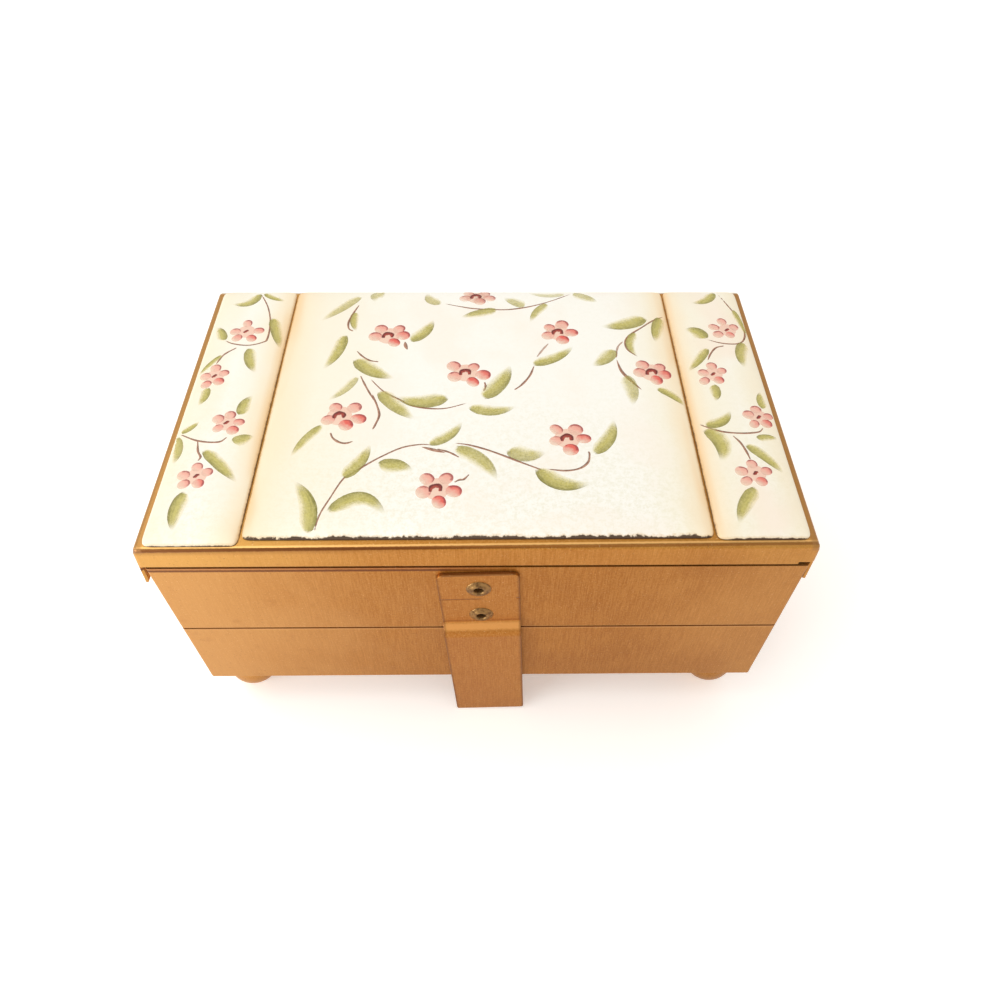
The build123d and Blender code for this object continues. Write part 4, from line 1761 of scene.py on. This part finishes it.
@dataclass
class Board:
    """A velvet-covered card board of a lining or divider, with softly wrapped edges.

    Attributes:
        node: The CAD node that it stands for.
        body: The body that it rides on.
        velvet: Its cloth.
        wrap: The radius of the wrapped edge.
        margin: How far in from the edge its flat faces are framed.
    """

    node: str
    body: Body
    velvet: bpy.types.Material
    wrap: float = 0.55 * MM
    margin: float = 1.6 * MM

    def build(self) -> None:
        """Model the board and cover it."""
        low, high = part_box(self.node)
        bench = Bench.block(f"{self.node}_board", low, high)
        thin_x = high.x - low.x < high.y - low.y
        with bench.editing("FACE"):
            bench.pick_faces(lambda co, n: abs(n.x if thin_x else n.y) > 0.9)
            bpy.ops.mesh.inset(thickness=self.margin, depth=0.0)
            bpy.ops.mesh.select_all(action="INVERT")
            bpy.ops.mesh.inset(thickness=self.wrap, depth=0.0)
        with bench.editing("EDGE"):
            bench.pick_all()
            bpy.ops.mesh.subdivide(number_cuts=3)
        bench.soften(self.wrap, 3, 60.0)
        bench.smooth(50.0)
        bench.dress(self.velvet, self.body, "velvet", [self.node])


@dataclass
class RingCushion:
    """Seven stuffed velvet rolls side by side on a padded base, to hold rings between them.

    Attributes:
        velvet: Its cloth.
        rolls: How many rolls it has.
        slot: The gap between two rolls at half height.
        base: How high the joined base is.
        foot: How far over the foot of the base a roll starts.
        crown: How a roll narrows upwards, as (height over its middle, width), each as a share.
        tucked: The width and the height that are left at a roll's ends, as shares.
    """

    velvet: bpy.types.Material
    rolls: int = 7
    slot: float = 0.5 * MM
    base: float = 6.2 * MM
    foot: float = 0.6 * MM
    crown: tuple[Point, ...] = ((0.999, 0.42), (0.66, 0.80), (0.33, 0.97))
    tucked: Point = (0.78, 0.84)

    def build(self) -> None:
        """Stuff one roll, copy it along the base and cover all."""
        low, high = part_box("ring_cushion")
        pitch = (high.y - low.y) / self.rolls
        bench = Bench.block("ring_cushion_rolls", low, Vector((high.x, high.y, low.z + self.base)))
        with bench.editing():
            bench.pick_all()
            bpy.ops.mesh.subdivide(number_cuts=7)
        bench.soften(0.8 * MM, 2, 60.0)
        roll_low = Vector((low.x, low.y + self.slot / 2, low.z + self.foot))
        roll_high = Vector((high.x, low.y + pitch - self.slot / 2, high.z))
        roll = self._roll(roll_low, roll_high)
        others = range(1, self.rolls)
        steps = [roll.copy(f"ring_roll_{number}", Vector((0, number * pitch, 0))) for number in others]
        bench.join([roll, *steps])
        bench.smooth(70.0)
        bench.dress(self.velvet, Body.UPPER, "velvet_pad", ["ring_cushion"], fill=0.8)

    def _roll(self, low: Vector, high: Vector) -> Bench:
        """Stuff one roll between two corners.

        Args:
            low: Its lowest corner.
            high: Its highest corner.

        Returns:
            The bench with the roll on it.
        """
        roll = Bench.block("ring_roll", low, high)
        middle = (low + high) / 2
        with roll.editing():
            roll.pick_all()
            bpy.ops.mesh.subdivide(number_cuts=5)
        with roll.editing():
            for share, width in self.crown:
                place = low.z + (high.z - low.z) * (0.5 + share / 2)
                roll.pick_verts(lambda co: abs(co.z - place) < 0.5 * MM)
                bpy.ops.transform.resize(value=(1, width, 1), center_override=(middle.x, middle.y, place))
            for way in (-1, 1):
                edge = middle.x + way * (high.x - middle.x)
                centre = (edge, middle.y, low.z + MM)
                roll.pick_verts(lambda co: abs(co.x - edge) < 0.5 * MM)
                bpy.ops.transform.resize(value=(1, *self.tucked), center_override=centre)
        roll.subdivide(2)
        size = high - low
        with roll.editing():
            roll.pick_all()
            back = (size.x / roll.piece.dimensions.x, 1.0, size.z / roll.piece.dimensions.z)
            bpy.ops.transform.resize(value=back, center_override=(middle.x, middle.y, low.z))
        return roll


@dataclass(frozen=True)
class Vine:
    """The painted strokes on one panel.

    Attributes:
        leaves: Its leaves, in the order they are laid.
        stems: Its stems.
        flowers: Its flowers.
    """

    leaves: tuple[Leaf, ...]
    stems: tuple[Stem, ...]
    flowers: tuple[Flower, ...]

    def paint(self, panel: bpy.types.Object, name: str, paints: dict[str, bpy.types.Material]) -> None:
        """Paint the vine on a panel.

        Args:
            panel: The padded panel.
            name: The panel's short name.
            paints: The paint for each kind of stroke.
        """
        brush = Brush(panel)
        for number, stem in enumerate(self.stems):
            brush.stem(stem, number)
        for number, leaf in enumerate(self.leaves):
            brush.leaf(leaf, number)
        for number, flower in enumerate(self.flowers):
            brush.flower(flower, number)
        brush.finish(name, paints)


LEFT_VINE = Vine(
    leaves=(
        Leaf((6.5, 59.0), (5.2, 51.3), 1.0, 2.8, Side.LEFT),
        Leaf((19.0, 47.2), (21.0, 55.5), 1.4, 3.6, Side.LEFT, 0.7),
        Leaf((3.0, 40.2), (7.3, 44.8), -0.6, 2.0),
        Leaf((2.0, 38.9), (3.5, 28.0), 1.3, 3.0, Side.LEFT, 0.5, 0.8),
        Leaf((11.0, 33.2), (22.8, 21.5), -0.2, 3.4, Side.RIGHT, 0.7, 0.95),
        Leaf((18.5, 36.5), (24.3, 38.7), 0.5, 3.8, Side.LEFT, 0.5, 0.85),
        Leaf((9.4, 18.2), (9.5, 4.7), -1.5, 3.8, Side.RIGHT, 0.8, 0.95),
        Leaf((14.2, 105.5), (5.3, 99.7), 3.6, 3.2, Side.LEFT, 0.7),
        Leaf((15.5, 105.5), (23.5, 101.2), -0.9, 2.0),
        Leaf((7.0, 80.8), (3.3, 87.8), -0.6, 3.0, Side.RIGHT, 0.7),
        Leaf((20.5, 92.0), (25.6, 77.0), -0.3, 3.4, Side.RIGHT, 0.7),
        Leaf((16.0, 77.0), (20.0, 65.5), -1.3, 3.4),
        Leaf((7.8, 73.8), (2.4, 64.5), -0.6, 1.8),
    ),
    stems=(
        Stem((
            (14.0, 106.0), (18.0, 98.0), (20.2, 90.0), (20.7, 82.0), (19.5, 79.8), (15.0, 78.3),
            (10.0, 79.2), (7.3, 80.8),
        )),
        Stem(((11.8, 77.2), (8.5, 74.0), (6.8, 69.5))),
        Stem(((3.0, 39.7), (8.5, 37.0), (14.5, 36.4), (16.8, 38.5))),
        Stem(((8.6, 37.0), (9.6, 33.0), (10.8, 30.8), (10.4, 29.3))),
    ),
    flowers=(
        Flower(
            (13.2, 85.0),
            ((17.2, 85.5), (15.5, 81.8), (13.0, 89.0), (10.0, 85.0), (11.0, 82.0)),
            2.05, 0.6,
        ),
        Flower((7.5, 64.0), ((7.2, 67.5), (10.0, 65.2), (9.2, 61.8), (5.8, 60.5), (5.0, 64.0)), 2.05, 0.6),
        Flower(
            (15.3, 44.0),
            ((15.8, 47.0), (18.7, 44.3), (17.6, 41.2), (13.5, 42.0), (12.8, 45.5)),
            2.05, 0.6,
        ),
        Flower((11.2, 23.7), ((10.8, 26.8), (13.7, 25.0), (12.2, 21.3), (8.5, 21.0), (7.8, 24.0)), 2.05, 0.6),
    ),
)
CENTRE_VINE = Vine(
    leaves=(
        Leaf((43.2, 43.0), (36.0, 30.5), -1.0, 2.8, Side.RIGHT, 0.4, 0.8),
        Leaf((51.5, 22.8), (57.8, 35.5), -1.5, 4.0),
        Leaf((44.6, 4.2), (38.0, 22.0), -2.6, 4.4, Side.RIGHT, 0.8, 1.0),
        Leaf((48.8, 11.0), (64.5, 9.3), 6.2, 4.4, Side.LEFT, 0.7, 0.95),
        Leaf((60.8, 27.5), (70.5, 25.3), 1.5, 4.6, Side.LEFT),
        Leaf((58.5, 57.0), (70.3, 45.2), -1.0, 4.5, Side.RIGHT, 0.5, 0.85),
        Leaf((79.5, 54.5), (63.5, 55.0), 2.9, 5.0, Side.LEFT),
        Leaf((85.8, 50.3), (100.0, 50.8), -2.4, 3.8, Side.RIGHT, 0.5, 0.85),
        Leaf((90.0, 54.0), (98.3, 69.0), -1.9, 5.0),
        Leaf((74.5, 35.2), (83.9, 44.5), -1.9, 3.2, Side.RIGHT, 0.6, 0.85),
        Leaf((82.0, 34.0), (94.0, 21.5), 2.5, 4.4, Side.LEFT, 0.35, 0.8),
        Leaf((97.0, 33.0), (108.0, 32.6), -2.2, 5.0, Side.RIGHT, 0.5, 0.7),
        Leaf((105.0, 26.0), (120.0, 21.0), -3.7, 5.2, Side.RIGHT, 0.8, 0.95),
        Leaf((121.5, 31.5), (128.2, 45.3), -2.2, 4.2),
        Leaf((48.7, 103.5), (36.5, 90.3), 0.5, 3.4, Side.LEFT, 0.3, 0.6),
        Leaf((47.5, 95.0), (49.0, 85.0), -1.0, 2.6),
        Leaf((45.5, 83.3), (40.2, 66.8), 1.5, 3.6, Side.LEFT),
        Leaf((49.8, 71.5), (63.0, 63.0), -1.8, 5.0),
        Leaf((51.5, 63.5), (43.5, 53.3), 1.2, 2.6, Side.LEFT, 0.3, 0.6),
        Leaf((56.5, 106.0), (54.0, 100.5), -2.2, 4.0, Side.RIGHT, 0.3, 0.55),
        Leaf((66.5, 80.2), (73.5, 91.2), -1.8, 4.0),
        Leaf((76.0, 99.8), (71.5, 106.0), 2.4, 3.6, Side.LEFT, 0.3, 0.6),
        Leaf((94.5, 96.3), (82.5, 92.0), -0.6, 3.4, Side.RIGHT, 0.5, 0.8),
        Leaf((104.0, 98.0), (97.0, 102.8), 0.4, 3.6, Side.LEFT, 0.3, 0.6),
        Leaf((111.5, 99.5), (105.6, 89.5), -1.2, 3.0, Side.RIGHT, 0.5, 0.8),
        Leaf((118.0, 105.0), (105.0, 106.0), 1.6, 2.4, Side.LEFT, 0.2, 0.4),
        Leaf((120.5, 105.5), (128.8, 100.0), 0.6, 3.6, Side.LEFT, 0.3, 0.55),
        Leaf((105.5, 69.0), (118.8, 77.8), -1.8, 3.8),
        Leaf((143.8, 91.8), (128.5, 87.6), 1.9, 5.2, Side.LEFT),
        Leaf((148.5, 92.5), (145.7, 79.5), -0.8, 3.8),
        Leaf((139.5, 84.5), (139.0, 72.5), -2.6, 2.8),
        Leaf((131.8, 76.0), (123.8, 68.4), 1.4, 4.4, Side.LEFT, 0.5, 0.8),
        Leaf((134.0, 64.0), (134.5, 50.5), 1.5, 4.2, Side.LEFT, 0.3, 0.6),
        Leaf((143.0, 58.0), (150.8, 50.8), 0.6, 2.6),
    ),
    stems=(
        Stem((
            (46.0, 4.0), (46.8, 10.0), (49.0, 16.0), (51.7, 22.5), (54.5, 25.0), (58.0, 28.0),
            (62.0, 31.0), (67.0, 34.0), (72.0, 35.2), (76.0, 35.0),
        )),
        Stem(((72.5, 34.3), (79.5, 32.0)), 1.6, 0.45),
        Stem(((77.0, 33.5), (80.5, 32.2), (83.5, 30.2))),
        Stem(((86.3, 24.0), (84.8, 22.2), (83.6, 22.0), (82.2, 21.1))),
        Stem((
            (82.0, 35.7), (86.0, 35.0), (91.0, 33.2), (96.0, 30.8), (100.0, 28.7), (104.0, 26.7),
            (107.0, 25.2),
        )),
        Stem(
            ((108.0, 25.8), (113.0, 25.2), (117.0, 26.0), (119.5, 28.2), (120.2, 31.0), (120.0, 32.5)),
        ),
        Stem(((56.5, 56.0), (58.5, 51.0), (59.5, 47.0), (58.8, 43.5), (58.0, 41.0))),
        Stem(((46.0, 40.0), (47.0, 37.8), (49.0, 36.2), (51.0, 35.8), (53.0, 36.6))),
        Stem(((52.3, 64.0), (54.5, 59.0), (57.5, 53.0))),
        Stem(((55.5, 62.5), (60.0, 57.0), (65.0, 53.5), (70.0, 50.5), (78.0, 49.6), (85.5, 52.0))),
        Stem(((50.0, 75.5), (52.0, 73.0), (54.5, 71.0), (57.5, 70.3))),
        Stem(((48.5, 99.0), (47.0, 94.5), (45.9, 90.0), (46.3, 86.5), (48.0, 85.1))),
        Stem(((65.0, 80.0), (65.3, 78.0), (66.0, 76.0)), 1.6, 0.45),
        Stem(((90.5, 61.0), (90.8, 59.0), (90.2, 57.0))),
        Stem(((99.5, 57.5), (102.0, 60.0), (104.5, 64.0), (106.0, 68.5))),
        Stem(((107.0, 72.5), (109.0, 76.0), (111.0, 79.0)), 0.8, 0.2, 0.6),
        Stem((
            (77.0, 99.5), (82.0, 98.0), (87.0, 96.8), (95.0, 96.2), (100.0, 96.5), (106.0, 98.0),
            (113.0, 101.0), (120.5, 105.5),
        )),
        Stem(((132.0, 71.5), (133.0, 66.0), (135.5, 61.5), (138.5, 57.2)), 1.6, 0.45),
        Stem((
            (150.0, 93.0), (146.0, 90.5), (142.0, 87.0), (138.0, 83.5), (135.7, 80.0),
            (136.0, 76.0), (139.0, 72.5),
        )),
        Stem(((132.0, 72.0), (133.0, 77.0), (135.0, 80.0)), 0.8, 0.2, 0.6),
    ),
    flowers=(
        Flower((47.8, 46.7), ((46.5, 49.8), (51.8, 50.0), (53.5, 45.5), (50.0, 43.2), (45.0, 45.2))),
        Flower((59.3, 82.8), ((57.0, 86.0), (62.5, 86.0), (64.0, 83.0), (61.3, 79.8), (55.5, 82.5))),
        Flower((84.5, 65.2), ((81.0, 68.2), (86.8, 67.5), (90.0, 64.3), (86.8, 61.3), (81.5, 63.6))),
        Flower((77.2, 18.8), ((74.8, 22.2), (79.8, 22.3), (82.0, 18.0), (78.2, 14.5), (74.2, 17.8))),
        Flower((114.2, 84.4), ((112.0, 86.5), (115.8, 88.2), (118.5, 84.3), (115.5, 81.0), (111.3, 83.0))),
        Flower((114.2, 37.4), ((111.5, 40.8), (116.8, 40.7), (118.8, 37.3), (115.0, 33.3), (111.5, 36.6))),
        Flower(
            (87.5, 103.3),
            ((85.3, 105.0), (90.3, 105.0), (92.0, 102.6), (88.7, 101.0), (84.2, 102.5)),
            2.4, 0.35, 0.7,
        ),
        Flower((142.3, 65.2), ((140.0, 68.5), (144.8, 67.3), (146.0, 64.5), (143.3, 62.2), (139.0, 65.2))),
    ),
)
RIGHT_VINE = Vine(
    leaves=(
        Leaf((164.7, 19.0), (157.8, 6.5), -1.2, 4.0, Side.RIGHT, 0.7),
        Leaf((165.3, 34.8), (174.0, 24.0), 0.2, 3.2),
        Leaf((154.5, 41.0), (157.0, 28.3), 2.2, 5.0, Side.RIGHT, 0.7),
        Leaf((169.0, 37.3), (175.4, 37.3), 0.8, 2.4, Side.LEFT),
        Leaf((155.0, 42.6), (163.5, 48.8), -2.2, 3.4),
        Leaf((174.0, 49.5), (174.5, 57.0), 0.9, 2.4, Side.LEFT, 0.5),
        Leaf((160.5, 59.8), (159.7, 52.5), 1.0, 3.0, Side.LEFT),
        Leaf((161.8, 76.5), (153.8, 66.0), 0.6, 2.8, Side.LEFT),
        Leaf((173.8, 79.8), (172.0, 67.5), -1.4, 3.6),
        Leaf((162.0, 81.2), (155.7, 86.0), -1.8, 4.4, Side.RIGHT, 0.7),
        Leaf((173.8, 96.5), (176.0, 82.5), 0.5, 2.0, Side.LEFT, 0.5),
        Leaf((169.0, 106.0), (160.0, 100.0), 2.4, 3.2, Side.LEFT),
    ),
    stems=(
        Stem((
            (170.0, 105.5), (172.5, 98.5), (174.5, 93.0), (175.5, 86.0), (174.8, 82.0),
            (173.0, 79.5), (170.0, 78.7), (166.0, 79.3), (162.0, 81.0),
        )),
        Stem(((167.3, 77.8), (164.5, 76.8), (162.3, 74.0), (160.8, 70.8))),
        Stem(
            ((153.5, 43.2), (156.5, 41.3), (160.0, 39.9), (165.0, 39.3), (170.0, 39.8), (172.0, 41.6)),
        ),
        Stem(((162.3, 38.4), (164.0, 35.5), (165.0, 32.0), (165.5, 29.0))),
    ),
    flowers=(
        Flower(
            (169.7, 85.6),
            ((168.8, 89.8), (172.0, 87.0), (170.2, 83.5), (166.5, 83.5), (165.7, 87.0)),
            2.05, 0.6,
        ),
        Flower(
            (161.3, 64.4),
            ((161.5, 68.0), (164.0, 65.8), (162.5, 62.0), (158.2, 61.5), (158.6, 65.0)),
            2.05, 0.6,
        ),
        Flower(
            (171.5, 45.8),
            ((171.3, 48.8), (174.2, 46.3), (173.2, 43.5), (169.7, 43.2), (168.8, 46.8)),
            2.05, 0.6,
        ),
        Flower(
            (165.8, 24.0),
            ((165.5, 27.2), (168.8, 24.8), (166.8, 21.3), (162.8, 21.3), (162.2, 24.8)),
            2.05, 0.6,
        ),
    ),
)


def paint_lid(panels: dict[str, bpy.types.Object]) -> None:
    """Paint the flowering vine on all three panels.

    Args:
        panels: The padded panels by their short names.
    """
    paints = {
        "leaf": LeafPaint("leaf_paint").make(),
        "petal": PetalPaint("petal_paint").make(),
        "stem": StemPaint("stem_paint").make(),
        "heart": StemPaint("heart_paint", tint(178, 70, 52), tint(106, 26, 18), body=0.95).make(),
    }
    for name, vine in (("left", LEFT_VINE), ("centre", CENTRE_VINE), ("right", RIGHT_VINE)):
        vine.paint(panels[name], name, paints)


@dataclass
class Studio:
    """The pale floor, the soft daylight and the camera.

    Attributes:
        lens: The camera's focal length on a 36 mm sensor.
        eye: Where the camera stands.
        tilt: How far it looks down from level, in degrees.
        turn: How far it turns left, in degrees.
        roll: How far it rolls, in degrees.
        daylight: The strength of the even daylight.
    """

    lens: float = 28.168
    eye: Triple = (2.88 * MM, -170.30 * MM, 257.53 * MM)
    tilt: float = 51.441
    turn: float = -1.227
    roll: float = 0.735
    daylight: float = 0.74

    def build(self) -> None:
        """Set up the whole studio."""
        self._floor()
        self._world()
        self._lamp("overhead", (-0.35, 0.10, 0.95), 0.8, 3.2, (1.0, 0.99, 0.97))
        self._lamp("left_window", (-0.34, -0.26, 0.10), 0.25, 1.1, (0.88, 0.96, 1.0))
        self._camera()

    def _floor(self) -> None:
        """Lay a white floor that keeps the object's soft shadow."""
        Bench.clear()
        bpy.ops.mesh.primitive_plane_add(size=6.0, location=(0, 0, 0))
        floor = bpy.context.object
        floor.name = "floor"
        book = NodeBook("white_floor")
        rays = book.node("ShaderNodeLightPath")
        seen = book.wire(rays, "Is Camera Ray")
        mirrored = book.wire(rays, "Is Glossy Ray")
        tone = book.mix(seen, (0.86, 0.79, 0.72), (1.0, 0.985, 0.96))
        paper = book.wire(book.node("ShaderNodeBsdfDiffuse", sockets={"Color": tone}))
        strength = seen * 0.32 + mirrored * 0.20
        shine = book.node("ShaderNodeEmission", sockets={"Color": (1.0, 0.88, 0.78), "Strength": strength})
        both = book.node("ShaderNodeAddShader", sockets={0: paper, 1: book.wire(shine)})
        book.node("ShaderNodeOutputMaterial", sockets={"Surface": book.wire(both)})
        floor.data.materials.append(book.material)

    def _world(self) -> None:
        """Surround the object with even daylight."""
        world = bpy.data.worlds.new("daylight")
        world.use_nodes = True
        background = world.node_tree.nodes["Background"]
        background.inputs["Color"].default_value = (1.0, 1.0, 1.0, 1.0)
        background.inputs["Strength"].default_value = self.daylight
        bpy.context.scene.world = world

    def _lamp(self, name: str, place: Triple, size: float, power: float, colour: Colour) -> None:
        """Hang one square lamp that faces the object and stays out of the picture.

        Args:
            name: The lamp's name.
            place: Where it hangs.
            size: The length of its side.
            power: Its power in watts.
            colour: The colour of its light.
        """
        lamp = bpy.data.lights.new(name, "AREA")
        lamp.size = size
        lamp.energy = power
        lamp.color = colour
        holder = bpy.data.objects.new(name, lamp)
        holder.location = place
        holder.visible_camera = False
        aim = Vector((0, 0, 0.05)) - Vector(place)
        holder.rotation_euler = aim.to_track_quat("-Z", "Y").to_euler()
        bpy.context.scene.collection.objects.link(holder)

    def _camera(self) -> None:
        """Stand the camera where the photograph was taken."""
        camera = bpy.data.cameras.new("camera")
        camera.lens = self.lens
        camera.sensor_width = 36.0
        camera.clip_start = 0.01
        holder = bpy.data.objects.new("camera", camera)
        aim = Matrix.Rotation(math.radians(self.turn), 4, "Z")
        aim = aim @ Matrix.Rotation(math.radians(90.0 - self.tilt), 4, "X")
        aim = aim @ Matrix.Rotation(math.radians(self.roll), 4, "Z")
        holder.matrix_world = Matrix.Translation(self.eye) @ aim
        bpy.context.scene.collection.objects.link(holder)
        bpy.context.scene.camera = holder
        bpy.context.scene.view_settings.view_transform = "Standard"


@dataclass
class Palette:
    """The finishes by the record's material slots, put on the CAD pieces that stay as they are.

    Attributes:
        sheet: The trays' lacquer.
        lid: The lid's lacquer.
        strap: The strap's lacquer.
        trim: The lacquer of the feet and the small parts.
        rivet: The plating of the strap's rivets.
        steel: The plain steel of pins and screws.
        velvet: The cloth of the linings.
    """

    sheet: bpy.types.Material = field(init=False)
    lid: bpy.types.Material = field(init=False)
    strap: bpy.types.Material = field(init=False)
    trim: bpy.types.Material = field(init=False)
    rivet: bpy.types.Material = field(init=False)
    steel: bpy.types.Material = field(init=False)
    velvet: bpy.types.Material = field(init=False)

    def __post_init__(self) -> None:
        """Mix every finish once."""
        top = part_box("lid_shell")[1].z / MM
        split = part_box("lower_tray")[1].z / MM
        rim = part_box("upper_tray")[1].z / MM
        # Painted light on the trays: painted highlights on the rims above and below the split between the
        # tiers, painted shade in the split, and painted shade under the lid's front flange on the upper
        # tray's rim, fading out towards the right.
        dark, bright = tint(110, 60, 26), tint(238, 184, 112)
        bands = (
            Band(split - 0.9, split - 0.35, bright, 0.25),
            Band(split - 0.35, split + 0.1, dark, 0.5),
            Band(split + 0.25, split + 0.8, bright, 0.5),
            Band(rim - 0.60, rim + 0.30, tint(176, 104, 62), 0.5, 0.0),
            Band(rim - 1.65, rim - 0.55, tint(104, 50, 10), 0.9, 0.0),
        )
        sheet = (tint(184, 120, 38), tint(160, 96, 24), tint(206, 150, 82))
        self.sheet = GoldLacquer("gold_sheet", *sheet, bands=bands).make()
        lid = (tint(196, 132, 50), tint(172, 108, 32), tint(216, 162, 80))
        self.lid = LidLacquer("gold_lid", *lid, bands=bands, top=top).make()
        head = Vector((STRAP_X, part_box("upper_tray")[0].y / MM, top - STRAP_DOWN))
        strap = (tint(184, 120, 42), tint(168, 102, 32), tint(192, 128, 54))
        self.strap = StrapLacquer("gold_strap", *strap, top=head).make()
        trim = (tint(196, 138, 72), tint(156, 102, 48), tint(202, 146, 82))
        self.trim = GoldLacquer("gold_trim", *trim, Grain.EVEN, 0.34, 0.85).make()
        self.rivet = DullRivet("bronze_rivet", tint(156, 118, 70), tint(104, 72, 40)).make()
        self.steel = DullRivet("plain_steel", tint(170, 166, 158), tint(120, 116, 110)).make()
        self.velvet = Velvet("rose_velvet", tint(112, 52, 52), tint(158, 86, 82)).make()

    def repaint(self) -> None:
        """Put each slot's finish on the CAD pieces of that slot."""
        finishes = {
            "gold_sheet": self.sheet,
            "gold_strap": self.strap,
            "gold_trim": self.trim,
            "bronze_rivet": self.rivet,
            "steel_fastener": self.steel,
        }
        for entry in frame["record"]["subparts"]:
            piece = frame["nodes"][entry["node"]]
            piece.data.materials.clear()
            piece.data.materials.append(finishes.get(entry["material_slot"], self.velvet))


def main() -> None:
    """Build the whole scene, piece by piece."""
    logging.basicConfig(level=logging.INFO, format="%(message)s")
    Studio().build()
    palette = Palette()
    palette.repaint()
    LidShell(palette.lid).build()
    panels = {
        "left": PaddedPanel("lid_left_panel", 4.0, 8.0, (0.0, 1.0), 0.12, 0.5).build(),
        "centre": PaddedPanel("lid_centre_panel", 13.0, 9.0, (1.0, 1.0), 0.55).build(),
        "right": PaddedPanel("lid_right_panel", 7.5, 7.0, (1.0, 0.0), 0.22, 0.9).build(),
    }
    paint_lid(panels)
    head = Vector((STRAP_X * MM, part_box("upper_tray")[0].y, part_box("lid_shell")[1].z - STRAP_DOWN * MM))
    Strap(palette.strap, palette.rivet, head).build()
    for tier, body in (("lower", Body.LOWER), ("upper", Body.UPPER)):
        for side in ("front", "rear", "left", "right"):
            Board(f"{tier}_lining_{side}", body, palette.velvet).build()
        Board(f"{tier}_divider", body, palette.velvet).build()
        rolls = ((0.4, 0.45), (2.2, 0.25), (8.0, 0.14), (14.0, 0.08))
        Pad(f"{tier}_lining_floor", body, palette.velvet, 1.6 * MM, rolls).build()
    cushion = ((8.0, 0.30), (9.5, 0.55), (13.0, 0.50), (17.0, 0.35), (21.0, 0.20))
    Pad("lid_lining", Body.LID, palette.velvet, 7.8 * MM, cushion, facing=-1).build()
    RingCushion(palette.velvet).build()


if __name__ == "__main__":
    main()
